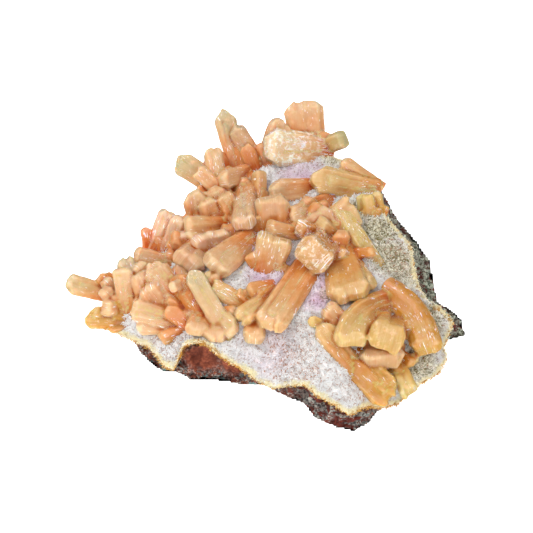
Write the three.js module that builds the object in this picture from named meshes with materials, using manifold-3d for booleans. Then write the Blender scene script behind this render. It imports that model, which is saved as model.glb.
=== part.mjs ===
// A cabinet specimen of stilbite: peach-coloured blades and sheaves grown on a white druse that coats
// one side of a flat chip of basalt. Millimetres, +Z up, resting on the chip's broken underside.
import * as THREE from 'three';
import { ImprovedNoise } from 'three/addons/math/ImprovedNoise.js';
import { mergeVertices } from 'three/addons/utils/BufferGeometryUtils.js';
import Module from 'manifold-3d';

const wasm = await Module();
wasm.setup();

// Places are sighted: how far right and how far up a point looks, in mm at the specimen's middle, to an
// eye half a metre away and 50 degrees above the horizon, together with its height above the base.
const EYE_DISTANCE = 500;
const EYE_RISE = THREE.MathUtils.degToRad(50);
const MIDDLE = new THREE.Vector3(0, 0, 12);
const VIEW_RIGHT = new THREE.Vector3(1, 0, 0);
const VIEW_UP = new THREE.Vector3(0, Math.sin(EYE_RISE), Math.cos(EYE_RISE));
const VIEW_BACK = new THREE.Vector3(0, -Math.cos(EYE_RISE), Math.sin(EYE_RISE));
const EYE = MIDDLE.clone().addScaledVector(VIEW_BACK, EYE_DISTANCE);

const SUMMIT_HEIGHT = 17.5; // the druse at the plate's centre
const DRUSE_THICKNESS = 2.0; // inside, thinning towards the rim
const DRUSE_EDGE = 0.9; // thickness at the rim
const SEAM = 0.3; // clearance between one mineral and the next
const ROOT_BACK = 1.5; // how far a crystal runs on behind its foot before it is trimmed
const ROOT_DOWN = 2; // and how far it sinks there
const FLANK_BULGE = 0.5; // how far the chip's broken sides belly out
const LUMP = 0.7; // height of the druse's swells
const LUMP_SIZE = 8; // from one swell to the next
const CALM_RIM = 6; // how close to the rim the swells die away
const CHIP = 0.9; // depth of the breaks in the basalt
const CHIP_SIZE = 6;
const CHIP_LEVEL = 0.5; // above 0, more of the broken side lies back than stands out
const CHIP_EASE = 0.6; // how fast the breaks deepen away from the rim and the foot
const FINE_RATE = 2.3; // the finer octave of swells and breaks: how much finer, how high, how far aside
const FINE_SHARE = 0.45;
const FINE_SHIFT = new THREE.Vector3(7, 0, 3);

// The plate's outline, anticlockwise from its left corner. Each station has the druse's rim, sighted and
// with its height, the foot of the broken side below it, and how abruptly the druse bends down there.
const OUTLINE = [
  { rim: [-40.5, -15, 6.5], foot: [-34, -16], drop: 6 },
  { rim: [-36.5, -16.5, 6.3], foot: [-33.5, -17.5], drop: 6 },
  { rim: [-33, -18.2, 5.8], foot: [-32.2, -21.5], drop: 7 },
  { rim: [-29, -20, 5.2], foot: [-29.5, -24.5], drop: 12 },
  { rim: [-25.5, -24.7, 3.5], foot: [-26.5, -26.5], drop: 7 },
  { rim: [-23.2, -25.5, 3], foot: [-23, -26.6], drop: 12 },
  { rim: [-22, -22.5, 8], foot: [-20.7, -27.7], drop: 9 },
  { rim: [-20.7, -19.2, 12.2], foot: [-19.5, -28.7], drop: 7 },
  { rim: [-17.5, -18.5, 12.8], foot: [-16.5, -28.5], drop: 6 },
  { rim: [-14.5, -19.5, 12.2], foot: [-13.5, -28.7], drop: 6 },
  { rim: [-12, -22, 10.5], foot: [-10, -29.2], drop: 6 },
  { rim: [-6.7, -25, 8], foot: [-5.7, -30], drop: 7 },
  { rim: [-1.5, -28.5, 5], foot: [-1.5, -29.7], drop: 6 },
  { rim: [1.7, -30, 4], foot: [2, -31.5], drop: 6 },
  { rim: [5.7, -29.2, 5], foot: [5.5, -33.2], drop: 6 },
  { rim: [9.5, -29.2, 7.5], foot: [9, -34.7], drop: 6 },
  { rim: [13, -32, 8], foot: [11.7, -38.2], drop: 6 },
  { rim: [17, -34.2, 8], foot: [17, -40.5], drop: 6 },
  { rim: [20.7, -36.7, 7], foot: [21.7, -41.7], drop: 6 },
  { rim: [24.7, -34.7, 6], foot: [25.7, -39.7], drop: 6 },
  { rim: [28.7, -35, 4], foot: [29, -35.7], drop: 6 },
  { rim: [32.7, -34, 3.5], foot: [31.2, -33], drop: 7 },
  { rim: [37.5, -29.5, 4.2], foot: [36, -29], drop: 7 },
  { rim: [43, -26.2, 4.8], foot: [40.2, -25.5], drop: 7 },
  { rim: [45, -22.5, 6], foot: [43, -22], drop: 7 },
  { rim: [44, -20, 7], foot: [45, -19], drop: 6 },
  { rim: [46.5, -13.7, 8.5], foot: [50.2, -17.5], drop: 6 },
  { rim: [43.5, -10.2, 11.3], foot: [49, -12.7], drop: 6 },
  { rim: [40.5, -8.7, 12], foot: [46.5, -10.5], drop: 6 },
  { rim: [38, -5.2, 13.3], foot: [43, -8.5], drop: 6 },
  { rim: [37, -1.7, 14], foot: [42, -2.5], drop: 6 },
  { rim: [36, 5.2, 14.8], foot: [41.2, 1.7], drop: 6 },
  { rim: [33.5, 8, 15], foot: [38, 6.5], drop: 6 },
  { rim: [29.2, 13.2, 14.8], foot: [33.2, 12], drop: 6 },
  { rim: [27.2, 19.5, 14.8], foot: [30.5, 16.7], drop: 6 },
  { rim: [26, 22, 14.5], foot: [28, 21.7], drop: 6 },
  { rim: [17.7, 27, 14.5], foot: [19, 20.5], drop: 6 },
  { rim: [9, 28, 14], foot: [9, 21], drop: 6 },
  { rim: [-2, 27, 13.5], foot: [-2.5, 20], drop: 6 },
  { rim: [-9, 22, 13], foot: [-9.5, 15], drop: 6 },
  { rim: [-16, 15, 12.5], foot: [-16, 7.5], drop: 6 },
  { rim: [-23, 7.5, 11.5], foot: [-22.5, 0], drop: 6 },
  { rim: [-30, 0, 10], foot: [-29, -6.5], drop: 6 },
  { rim: [-37, -7.5, 8.5], foot: [-33.5, -12.5], drop: 6 },
];
const PLATE_CENTRE = new THREE.Vector2(5, -3);
const EVENING = 4; // spokes to each side over which the rim's height is evened out
const SLOPE_POWER = 2.1; // how the druse bends down from its middle
const TOP_RINGS = [0.2, 0.42, 0.6, 0.75, 0.87, 0.95, 1];
const BED_RINGS = [0.4, 0.72, 0.92];
const FLANK_RINGS = [0, 0.22, 0.5, 0.78, 1];

// Stilbite crystals by cluster. Each one is sighted from its foot, on the druse or lift mm above it, to
// its tip, clear mm above the druse. size is the broad face's width and the thickness, turn rolls the
// broad face away from the eye, end is the tip's width and waist the foot's width as shares of the full
// width, and bow pushes the middle of the crystal sideways as it looks to the eye.
const CLUSTERS = {
  left_spray: [
    { foot: [-37, -6.4], tip: [-50.2, -3.9], clear: 4.5, size: [5.2, 3], turn: 12, end: 0.45 },
    { foot: [-35, -12.6], tip: [-45.7, -13.4], clear: 2.2, size: [4.4, 2.6], turn: -8, end: 0.4 },
    { foot: [-36, -10.6], tip: [-43.8, -11.6], clear: 3.4, size: [3.4, 2.4], turn: 15, end: 0.4 },
    { foot: [-36.5, -8], tip: [-40.6, -3], clear: 5, size: [3.4, 2.8], turn: 20, end: 0.5 },
    { foot: [-31.4, -7.2], tip: [-36, 2.3], clear: 7.5, size: [5, 3.4], turn: 5, end: 0.5 },
    { foot: [-34.7, -11.5], tip: [-36.2, -0.2], clear: 10, size: [5.2, 3.4], turn: -12, end: 0.65 },
    { foot: [-37, -10.5], tip: [-40.7, -5.4], clear: 6, size: [4, 3.2], turn: 30, end: 0.5 },
    { foot: [-36, -10], tip: [-40.8, -10.2], clear: 6, size: [4.2, 3.4], turn: 0, end: 0.6 },
    { foot: [-29.5, -6.5], tip: [-32.2, 1], clear: 8, size: [4.6, 3], turn: 25, end: 0.5 },
    { foot: [-16.8, -13.8], tip: [-29.4, 1], clear: 8, size: [7, 3.4], turn: 14, end: 0.2 },
    { foot: [-14.6, -12.6], tip: [-23.2, -2.4], clear: 5, size: [5.6, 3], turn: -10, end: 0.35 },
    { foot: [-13.6, -13.8], tip: [-21, -5.2], clear: 3.5, size: [5, 3], turn: 8, end: 0.5 },
    { foot: [-20.6, -1.8], tip: [-23.8, -5.2], clear: 9.5, lift: 5, size: [2.8, 2], turn: 0, end: 0.5 },
    {
      foot: [-9.6, -15.4], tip: [-19, -0.8], clear: 6.5, lift: 2, size: [5, 2.4], turn: 5, end: 0.2,
      waist: 0.95,
    },
    { foot: [-15.2, -8.5], tip: [-7.6, -16], clear: 2.4, lift: 1, size: [4.6, 3], turn: 10, end: 0.35 },
    { foot: [-20.2, -13.4], tip: [-34, -10.6], clear: 4.5, size: [6.4, 3.8], turn: -6, end: 0.55 },
    { foot: [-23.6, -13.8], tip: [-32.8, -14.6], clear: 3, size: [5.2, 3.4], turn: 8, end: 0.5 },
    { foot: [-16.5, -11], tip: [-17.6, -16.6], clear: 2.6, size: [6, 3.5], turn: 0, end: 0.4 },
    { foot: [-13.5, -11.5], tip: [-12.3, -18.6], clear: 2, size: [6.5, 3.5], turn: -8, end: 0.35 },
    { foot: [-11, -11.5], tip: [-8.4, -16.8], clear: 2.4, size: [5, 3], turn: 10, end: 0.4 },
    { foot: [-29, -9.7], tip: [-32, -1.4], clear: 7, size: [6, 4], turn: 20, end: 0.6 },
    { foot: [-25.2, -11], tip: [-30.2, -4.6], clear: 6.5, size: [6.2, 4], turn: -20, end: 0.6 },
  ],
  left_fan: [
    { foot: [-28.5, 4.5], tip: [-24, 14.2], clear: 5, size: [5.5, 3.5], turn: 12, end: 0.4 },
    { foot: [-25.2, 4], tip: [-21.6, 12.8], clear: 5.4, size: [4.6, 3.5], turn: -15, end: 0.4 },
  ],
  upper_left_spray: [
    { foot: [-16.5, 10.2], tip: [-18.2, 19], clear: 7.5, size: [6.6, 3.6], turn: -10, end: 0.4 },
    { foot: [-13.5, 11], tip: [-15.2, 17], clear: 6, size: [5.2, 3.6], turn: 20, end: 0.5 },
    { foot: [-10.8, 11.8], tip: [-20.6, 9.4], clear: 6, lift: 2, size: [6.4, 3.8], turn: 6, end: 0.65 },
    { foot: [-22.7, 2], tip: [-20, 8.6], clear: 4.6, size: [4, 3], turn: 25, end: 0.4 },
    { foot: [-22, 1.5], tip: [-33.4, 2.9], clear: 5.4, size: [4.8, 4.2], turn: 10, end: 0.6 },
    { foot: [-17.2, 5.4], tip: [-19.8, 0.6], clear: 4.5, size: [8.4, 5], turn: 0, end: 0.65 },
    { foot: [-15.2, 4], tip: [-17.2, 7.4], clear: 4.6, size: [4.4, 3], turn: 15, end: 0.5 },
    { foot: [-13, 5], tip: [-14.8, 8.6], clear: 4.6, size: [4.6, 3], turn: -15, end: 0.5 },
    { foot: [-10.5, 6], tip: [-11.6, 9], clear: 4.2, size: [4.6, 3], turn: 5, end: 0.5 },
    { foot: [-7.6, 18.4], tip: [-22.6, 26.6], clear: 4, size: [6.6, 3], turn: -10, end: 0.45 },
    { foot: [-10.6, 15.6], tip: [-13.7, 29.7], clear: 6.5, size: [5.2, 3.8], turn: 8, end: 0.5 },
    { foot: [-8, 18], tip: [-17.6, 24.3], clear: 7, lift: 3, size: [4.4, 3.4], turn: 0, end: 0.7 },
    { foot: [-4.4, 26], tip: [-11.4, 21.2], clear: 6.5, lift: 3, size: [5.2, 3.2], turn: -10, end: 0.4 },
    { foot: [-7, 24], tip: [-11, 39.6], clear: 10, size: [6, 3.6], turn: 10, end: 0.15, waist: 0.6 },
    { foot: [-1.2, 25.4], tip: [-8.4, 35.2], clear: 8, size: [5.2, 3.8], turn: -20, end: 0.3 },
    { foot: [-5, 24.4], tip: [-5.7, 10], clear: 4.5, lift: 3, size: [6.2, 4], turn: 10, end: 0.4 },
    { foot: [-1.6, 15.5], tip: [-1.8, 24], clear: 3.5, size: [3.6, 3.6], turn: 30, end: 0.4 },
    { foot: [-10.2, 11.5], tip: [-14, 19.6], clear: 5.6, size: [7.2, 4], turn: 0, end: 0.5 },
    { foot: [-7.6, 12.2], tip: [-11, 18.4], clear: 5, size: [5, 4], turn: 8, end: 0.5 },
  ],
  top_blades: [
    { foot: [10.8, 29], tip: [8.9, 41.5], clear: 8, size: [10.6, 5], turn: -4, end: 0.5 },
    { foot: [15, 30.6], tip: [-0.4, 30.1], clear: 5.5, lift: 2, size: [10.4, 4.6], turn: 6, end: 0.5 },
    { foot: [-1.4, 24.8], tip: [4, 36.8], clear: 8.5, size: [6.4, 3.4], turn: 15, end: 0.45 },
    { foot: [13.5, 30.6], tip: [19.8, 32.2], clear: 4, size: [5, 4.4], turn: 0, end: 0.6 },
    { foot: [3.6, 28.5], tip: [1.8, 36.6], clear: 6.5, lift: 2.5, size: [2.4, 2.4], turn: 0, end: 0.4 },
  ],
  upper_centre_blades: [
    { foot: [12.2, 21], tip: [0.8, 18.4], clear: 3.4, lift: 1.5, size: [7, 4], turn: 0, end: 0.3 },
    {
      foot: [26.5, 20.2], tip: [11, 22.1], clear: 3.8, lift: 1, size: [8, 4.6], turn: 6, end: 0.3,
      waist: 0.95,
    },
    {
      foot: [27.2, 20.6], tip: [18, 25.6], clear: 2.8, lift: 0.5, size: [6, 4], turn: -10, end: 0.6,
      waist: 0.95,
    },
  ],
  upper_right_tips: [
    { foot: [26.5, 12.7], tip: [25, 18.2], clear: 3.7, size: [3.5, 3], turn: 0, end: 0.5 },
    { foot: [28.5, 13.2], tip: [27.4, 19], clear: 3, size: [3.2, 3], turn: 10, end: 0.5 },
    { foot: [24.5, 13.5], tip: [23.7, 18.4], clear: 3, size: [3, 2], turn: -10, end: 0.4 },
  ],
  front_blades: [
    { foot: [-2.5, 9.5], tip: [-13.7, -0.6], clear: 4.6, lift: 1, size: [8.2, 4.2], turn: 8, end: 0.5 },
    { foot: [-4, -9.4], tip: [-14.2, -4.6], clear: 3.2, size: [4.8, 3.6], turn: 0, end: 0.5 },
    { foot: [-11, -6.5], tip: [-15, -0.8], clear: 3, size: [4, 3], turn: 20, end: 0.4 },
  ],
  centre_blades: [
    { foot: [0, -0.5], tip: [2.5, 8], clear: 6, size: [9.2, 6], turn: 0, end: 0.8 },
    { foot: [1.7, 9.5], tip: [1.4, 17.6], clear: 6.4, size: [8.8, 6], turn: 4, end: 0.7 },
    { foot: [11, 9], tip: [0.2, 9.7], clear: 4, lift: 1, size: [4.4, 4.8], turn: 0, end: 0.6 },
    { foot: [16, 18.2], tip: [6.2, 11.8], clear: 3, lift: 2, size: [6, 3.8], turn: 10, end: 0.45 },
    { foot: [12, 8.8], tip: [22.6, 14.4], clear: 4, size: [8.8, 4], turn: 0, end: 0.75 },
    {
      foot: [28, 0.8], tip: [17, 15.6], clear: 3.4, lift: 0.5, size: [5, 4.2], turn: 30, end: 0.35,
      waist: 0.9,
    },
    { foot: [16, 7.7], tip: [12.4, 14.6], clear: 3.4, size: [8, 4.2], turn: 0, end: 0.55 },
    { foot: [14.7, 7], tip: [8.2, 9.4], clear: 2.6, size: [4.6, 4], turn: 0, end: 0.5 },
    { foot: [14.7, 7], tip: [11.5, 2.6], clear: 6.5, size: [9.6, 7.2], turn: 0, end: 0.7 },
    {
      foot: [11, 2.4], tip: [0.2, -15.2], clear: 5, lift: 1.5, size: [8.4, 5], turn: 24, end: 0.5,
      waist: 0.9,
    },
    {
      foot: [18, 5.2], tip: [21.2, -8.4], clear: 3.2, lift: 1, size: [11.4, 5.2], turn: -4, end: 0.6,
      waist: 0.65,
    },
    { foot: [2, -5.4], tip: [-7, -13.2], clear: 3.8, size: [5.2, 3.8], turn: 12, end: 0.4 },
    { foot: [-2.5, -10.5], tip: [-3.4, -19.2], clear: 3, size: [5.8, 4], turn: 0, end: 0.4 },
    { foot: [21.4, 3], tip: [26, -5.6], clear: 2, size: [5, 4], turn: 20, end: 0.45 },
  ],
  right_sheaf: [
    {
      foot: [30.5, -5.4], tip: [40.2, -22.2], clear: 7.5, lift: 1, size: [8, 6], turn: 10, end: 0.55,
      waist: 0.9, bow: [2.2, 1.2],
    },
    {
      foot: [31.5, -8], tip: [20.8, -19.8], clear: 5.5, lift: 1, size: [7.8, 5], turn: 0, end: 0.55,
      waist: 0.85, bow: [-2.8, 1.8],
    },
    { foot: [31, -13.6], tip: [30, -17.8], clear: 10, size: [9, 7.6], turn: 0, end: 0.7 },
    { foot: [29, -18.5], tip: [28.8, -24], clear: 4.4, size: [10.6, 5], turn: 0, end: 0.65 },
    { foot: [30.5, -19.7], tip: [33.4, -22.6], clear: 6, size: [3.8, 3], turn: 0, end: 0.5 },
    {
      foot: [24.4, -27.6], tip: [13.2, -14.4], clear: 2.2, lift: 0.5, size: [5.6, 4], turn: 12, end: 0.35,
      waist: 0.95,
    },
    { foot: [19.7, -22.2], tip: [31.2, -33.8], clear: 3.4, lift: 0.5, size: [7, 4], turn: 6, end: 0.5 },
    { foot: [22.2, -21], tip: [31.7, -31.4], clear: 5, lift: 0.5, size: [6, 4], turn: -12, end: 0.45 },
    { foot: [16.4, -14.9], tip: [10.6, -13.2], clear: 2, size: [3, 2.2], turn: 0, end: 0.4 },
    { foot: [21.5, -15], tip: [14.4, -10], clear: 2.4, size: [5.2, 4], turn: 0, end: 0.5 },
    { foot: [32.2, -22.2], tip: [36, -32.2], clear: 3, size: [4.8, 4], turn: 0, end: 0.5 },
    { foot: [32.7, -25.5], tip: [37.6, -22.2], clear: 2, size: [2.8, 2.4], turn: 0, end: 0.5 },
  ],
};
const FACET_SLACK = 0.12; // flatter creases than this are smoothed away
const SIGHT_SLACK = 0.01; // how exactly a sighted point meets its height
const MERGE_SLACK = 1e-4; // points closer than this are one
const FOOT_SHARE = 0.75; // width at the foot where a crystal states no waist
const TIP_SLOPE = 0.5; // length of the bevelled tip for each mm that it narrows
const LONGEST_TIP = 0.45; // and at most this share of the crystal
const TIP_THICKNESS = [0.35, 0.65]; // the tip's thickness as a share, for an end of 0 and of 1
const BOWED = [{ at: 0.35, side: 0.95 }, { at: 0.7, side: 1 }]; // rings that only a bowed crystal needs
const RIM_SHARES = [[1, 0.35], [0.72, 1], [-0.72, 1], [-1, 0.35]]; // half a crystal's cross-section

const noise = new ImprovedNoise();

// The point that looks right mm to the right and up mm above the middle and is height mm above the base.
function sighted(right, up, height) {
  const seen = MIDDLE.clone().addScaledVector(VIEW_RIGHT, right).addScaledVector(VIEW_UP, up);
  const share = (EYE.z - height) / (EYE.z - seen.z);
  return EYE.clone().lerp(seen, share);
}

// Swells or breaks of a given size at a point: two octaves of noise, from about -1 to 1.
function rough(x, y, z, size) {
  const coarse = noise.noise(x / size, y / size, z / size);
  const at = new THREE.Vector3(x, y, z).multiplyScalar(FINE_RATE / size).add(FINE_SHIFT);
  return coarse + FINE_SHARE * noise.noise(at.x, at.y, at.z);
}

const spokes = OUTLINE.map(({ rim, foot, drop }) => {
  const edge = sighted(...rim);
  const angle = Math.atan2(edge.y - PLATE_CENTRE.y, edge.x - PLATE_CENTRE.x);
  return { rim: edge, foot: sighted(...foot, 0), drop, angle };
});

// The rim's height evened out over the neighbouring spokes, which the inner druse slopes down to.
spokes.forEach((spoke, k) => {
  let sum = 0;
  for (let step = -EVENING; step <= EVENING; step++) {
    sum += spokes[(k + step + spokes.length) % spokes.length].rim.z;
  }
  spoke.slopeTo = sum / (2 * EVENING + 1);
});

// The druse's height on one spoke, share of the way from the plate's centre to the rim.
function spokeHeight(spoke, share) {
  const slope = (SUMMIT_HEIGHT - spoke.slopeTo) * share ** SLOPE_POWER;
  return SUMMIT_HEIGHT - slope - (spoke.slopeTo - spoke.rim.z) * share ** spoke.drop;
}

function druseSwell(x, y, share) {
  return LUMP * rough(x, y, 0, LUMP_SIZE) * (1 - share ** CALM_RIM);
}

// The druse's height above any point of the plate.
function druseTop(x, y) {
  const dx = x - PLATE_CENTRE.x;
  const dy = y - PLATE_CENTRE.y;
  const angle = Math.atan2(dy, dx);
  const turn = 2 * Math.PI;
  for (let k = 0; k < spokes.length; k++) {
    const a = spokes[k];
    const b = spokes[(k + 1) % spokes.length];
    const span = (b.angle - a.angle + turn) % turn;
    const into = (angle - a.angle + turn) % turn;
    if (into > span) continue;
    const edge = a.rim.clone().lerp(b.rim, into / span);
    const reach = Math.hypot(edge.x - PLATE_CENTRE.x, edge.y - PLATE_CENTRE.y);
    const share = Math.min(1, Math.hypot(dx, dy) / reach);
    const height = THREE.MathUtils.lerp(spokeHeight(a, share), spokeHeight(b, share), into / span);
    return height + druseSwell(x, y, share);
  }
  return SUMMIT_HEIGHT;
}

// A closed surface through rings of equal point count, capped at both ends by a fan.
function closedLoft(rings, firstCentre, lastCentre) {
  const points = [firstCentre, ...rings.flat(), lastCentre];
  const count = rings[0].length;
  const last = points.length - 1;
  const index = [];
  const at = (ring, k) => 1 + ring * count + (k % count);
  for (let k = 0; k < count; k++) {
    index.push(0, at(0, k + 1), at(0, k));
    index.push(last, at(rings.length - 1, k), at(rings.length - 1, k + 1));
    for (let ring = 0; ring + 1 < rings.length; ring++) {
      index.push(at(ring, k), at(ring, k + 1), at(ring + 1, k + 1));
      index.push(at(ring, k), at(ring + 1, k + 1), at(ring + 1, k));
    }
  }
  const geometry = new THREE.BufferGeometry().setFromPoints(points);
  geometry.setIndex(index);
  return geometry;
}

// A ring of the plate: each spoke's point at a share of the way out, at the height that lift gives it.
function plateRing(share, lift) {
  return spokes.map((spoke) => {
    const x = THREE.MathUtils.lerp(PLATE_CENTRE.x, spoke.rim.x, share);
    const y = THREE.MathUtils.lerp(PLATE_CENTRE.y, spoke.rim.y, share);
    return new THREE.Vector3(x, y, spokeHeight(spoke, share) + druseSwell(x, y, share) + lift);
  });
}

function centreAt(z) {
  return new THREE.Vector3(PLATE_CENTRE.x, PLATE_CENTRE.y, z);
}

function centreTop(lift) {
  return centreAt(SUMMIT_HEIGHT + druseSwell(PLATE_CENTRE.x, PLATE_CENTRE.y, 0) + lift);
}

// The chip's broken side, from just below the rim to the foot, grown outwards by grow.
function flankRings(top, grow) {
  return FLANK_RINGS.map((share) => spokes.map((spoke) => {
    const out = new THREE.Vector2(Math.cos(spoke.angle), Math.sin(spoke.angle));
    const point = spoke.rim.clone().setZ(spoke.rim.z + top).lerp(spoke.foot, share);
    const belly = FLANK_BULGE * Math.sin(Math.PI * share);
    const broken = Math.max(0, CHIP_LEVEL - rough(point.x, point.y, point.z, CHIP_SIZE));
    const breaks = -CHIP * broken * Math.sin(Math.PI * share) ** CHIP_EASE;
    point.x += out.x * (belly + breaks + grow);
    point.y += out.y * (belly + breaks + grow);
    return point;
  }));
}

function basaltGeometry() {
  const below = -(DRUSE_THICKNESS + SEAM);
  const bed = BED_RINGS.map((share) => plateRing(share, below));
  const flank = flankRings(-(DRUSE_EDGE + SEAM), 0);
  return closedLoft([...bed, ...flank].reverse(), centreAt(0), centreTop(below));
}

// The druse, or with grow the same made that much larger below and around the rim.
function druseGeometry(grow) {
  const top = TOP_RINGS.map((share) => plateRing(share, 0));
  const edge = plateRing(1, -DRUSE_EDGE - grow);
  const deep = -DRUSE_THICKNESS - grow;
  const under = BED_RINGS.map((share) => plateRing(share, deep)).reverse();
  return closedLoft([...top, edge, ...under].reverse(), centreTop(deep), centreTop(0));
}

// The whole plate grown by the seam, which the crystals are trimmed with.
function groundGeometry() {
  const top = TOP_RINGS.slice(0, -1).map((share) => plateRing(share, SEAM));
  const below = spokes.map((s) => s.foot.clone().setZ(-SUMMIT_HEIGHT));
  const rings = [...top, ...flankRings(SEAM, 2 * SEAM), below];
  return closedLoft(rings.reverse(), centreAt(-SUMMIT_HEIGHT), centreTop(SEAM));
}

function solidOf(geometry) {
  const bare = new THREE.BufferGeometry();
  bare.setAttribute('position', geometry.getAttribute('position'));
  bare.setIndex(geometry.index);
  const merged = mergeVertices(bare, MERGE_SLACK);
  const mesh = new wasm.Mesh({
    numProp: 3,
    vertProperties: merged.getAttribute('position').array,
    triVerts: new Uint32Array(merged.index.array),
  });
  return new wasm.Manifold(mesh);
}

function geometryOf(solid) {
  const mesh = solid.getMesh();
  const geometry = new THREE.BufferGeometry();
  geometry.setAttribute('position', new THREE.BufferAttribute(mesh.vertProperties, 3));
  geometry.setIndex(new THREE.BufferAttribute(mesh.triVerts, 1));
  return geometry;
}

// The point sighted at right and up that is lift above the druse.
function overDruse(right, up, lift) {
  let low = 0;
  let high = 2 * SUMMIT_HEIGHT;
  while (high - low > SIGHT_SLACK) {
    const height = (low + high) / 2;
    const point = sighted(right, up, height);
    if (height < druseTop(point.x, point.y) + lift) low = height;
    else high = height;
  }
  return sighted(right, up, low);
}

// One crystal: a flattened eight-sided prism along its spine, widest below a bevelled tip. grow makes it
// that much larger all round.
function crystalGeometry(crystal, grow) {
  const { foot, tip, clear, size, turn, lift = 0, end, waist = FOOT_SHARE, bow } = crystal;
  const from = overDruse(...foot, lift);
  const to = overDruse(...tip, clear);
  const along = to.clone().sub(from).normalize();
  const root = from.clone().addScaledVector(along, -ROOT_BACK);
  root.z -= ROOT_DOWN + lift / 2;
  to.addScaledVector(along, grow);
  const middle = root.clone().lerp(to, 0.5);
  if (bow) middle.addScaledVector(VIEW_RIGHT, 2 * bow[0]).addScaledVector(VIEW_UP, 2 * bow[1]);
  const spine = new THREE.QuadraticBezierCurve3(root, middle, to);
  const length = spine.getLength();
  const [width, thickness] = size.map((side) => side + 2 * grow);
  const tipLength = Math.min(LONGEST_TIP * length, TIP_SLOPE * width * (1 - end));
  const shoulder = 1 - tipLength / length;
  const stations = [
    { at: 0, wide: waist, thick: waist },
    { at: shoulder, wide: 1, thick: 1 },
    { at: 1, wide: end, thick: THREE.MathUtils.lerp(...TIP_THICKNESS, end) },
  ];
  if (bow) {
    const bowed = BOWED.map(({ at, side }) => ({ at: at * shoulder, wide: side, thick: side }));
    stations.splice(1, 0, ...bowed);
  }
  const rings = stations.map(({ at, wide, thick }) => {
    const centre = spine.getPoint(at);
    const tangent = spine.getTangent(at);
    const sight = EYE.clone().sub(centre).normalize();
    const across = tangent.clone().cross(sight).normalize();
    across.applyAxisAngle(tangent, THREE.MathUtils.degToRad(turn));
    const through = tangent.clone().cross(across).normalize();
    const halves = [...RIM_SHARES, ...RIM_SHARES.map(([a, b]) => [-a, -b])];
    return halves.map(([a, b]) => centre.clone()
      .addScaledVector(across, (a * width * wide) / 2)
      .addScaledVector(through, (b * thickness * thick) / 2));
  });
  return closedLoft(rings, root, to);
}

function together(crystals, grow) {
  const solids = crystals.map((crystal) => solidOf(crystalGeometry(crystal, grow)));
  return solids.reduce((all, solid) => all.add(solid));
}

// A cluster grown into one body, clear of what lies around it.
function clusterBodies(crystals, around) {
  const bodies = together(crystals, 0).subtract(around).simplify(FACET_SLACK).decompose();
  return bodies.sort((a, b) => b.volume() - a.volume());
}

const MATERIALS = {
  basalt: new THREE.MeshStandardMaterial({ name: 'basalt', color: 0x5a2e22, roughness: 0.9, metalness: 0 }),
  druse: new THREE.MeshStandardMaterial({ name: 'druse', color: 0xeee4e2, roughness: 0.75, metalness: 0 }),
  stilbite: new THREE.MeshStandardMaterial({ name: 'stilbite', color: 0xe0a878, roughness: 0.3 }),
};

const specimen = new THREE.Group();
specimen.name = 'stilbite_on_matrix';

function addPiece(name, geometry, material) {
  const piece = new THREE.Mesh(geometry, material);
  piece.name = name;
  specimen.add(piece);
}

const basalt = solidOf(basaltGeometry()).subtract(solidOf(druseGeometry(SEAM)));
addPiece('basalt_matrix', geometryOf(basalt), MATERIALS.basalt);
addPiece('druse_crust', druseGeometry(0), MATERIALS.druse);
let around = solidOf(groundGeometry());
for (const [name, crystals] of Object.entries(CLUSTERS)) {
  const [body] = clusterBodies(crystals, around);
  addPiece(`stilbite_${name}`, geometryOf(body), MATERIALS.stilbite);
  around = around.add(together(crystals, SEAM));
}

export default specimen;
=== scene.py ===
# A stilbite specimen: peach crystals on a white druse over a chip of basalt. Metres, in the part's frame.
import math
from types import SimpleNamespace

import bpy
import numpy as np
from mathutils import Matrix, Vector
from mathutils.bvhtree import BVHTree


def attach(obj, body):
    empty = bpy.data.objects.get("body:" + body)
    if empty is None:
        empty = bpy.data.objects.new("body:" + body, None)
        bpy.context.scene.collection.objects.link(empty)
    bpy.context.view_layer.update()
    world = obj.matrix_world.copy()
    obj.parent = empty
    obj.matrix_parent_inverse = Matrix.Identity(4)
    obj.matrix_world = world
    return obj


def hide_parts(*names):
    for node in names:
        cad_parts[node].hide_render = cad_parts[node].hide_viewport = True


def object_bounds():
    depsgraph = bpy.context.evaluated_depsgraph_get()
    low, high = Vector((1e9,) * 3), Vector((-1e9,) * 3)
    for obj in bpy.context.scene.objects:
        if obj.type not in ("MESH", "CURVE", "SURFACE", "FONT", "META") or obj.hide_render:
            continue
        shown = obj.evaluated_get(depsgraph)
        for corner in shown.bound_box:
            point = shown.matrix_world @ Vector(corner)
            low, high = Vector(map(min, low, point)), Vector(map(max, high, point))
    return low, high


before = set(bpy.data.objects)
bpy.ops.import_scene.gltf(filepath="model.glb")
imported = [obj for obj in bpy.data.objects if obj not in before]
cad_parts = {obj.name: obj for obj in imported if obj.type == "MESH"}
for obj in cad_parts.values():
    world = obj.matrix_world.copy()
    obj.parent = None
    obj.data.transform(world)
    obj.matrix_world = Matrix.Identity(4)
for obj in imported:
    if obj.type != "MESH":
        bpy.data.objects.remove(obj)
CAD_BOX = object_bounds()

MM = 0.001

# Places are sighted as the part's own source sights them: how far right and how far up a point looks at the
# specimen's middle, to an eye half a metre away and 50 degrees above the horizon.
EYE_DISTANCE = 500 * MM
EYE_RISE = math.radians(50)
VIEW_WIDTH = 133.25 * MM  # what the square picture spans at the middle
MIDDLE = np.array((0, 0, 12 * MM))
VIEW_RIGHT = np.array((1.0, 0, 0))
VIEW_UP = np.array((0, math.sin(EYE_RISE), math.cos(EYE_RISE)))
VIEW_BACK = np.array((0, -math.cos(EYE_RISE), math.sin(EYE_RISE)))
EYE = MIDDLE + EYE_DISTANCE * VIEW_BACK
PLATE_CENTRE = np.array((5, -3)) * MM

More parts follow.
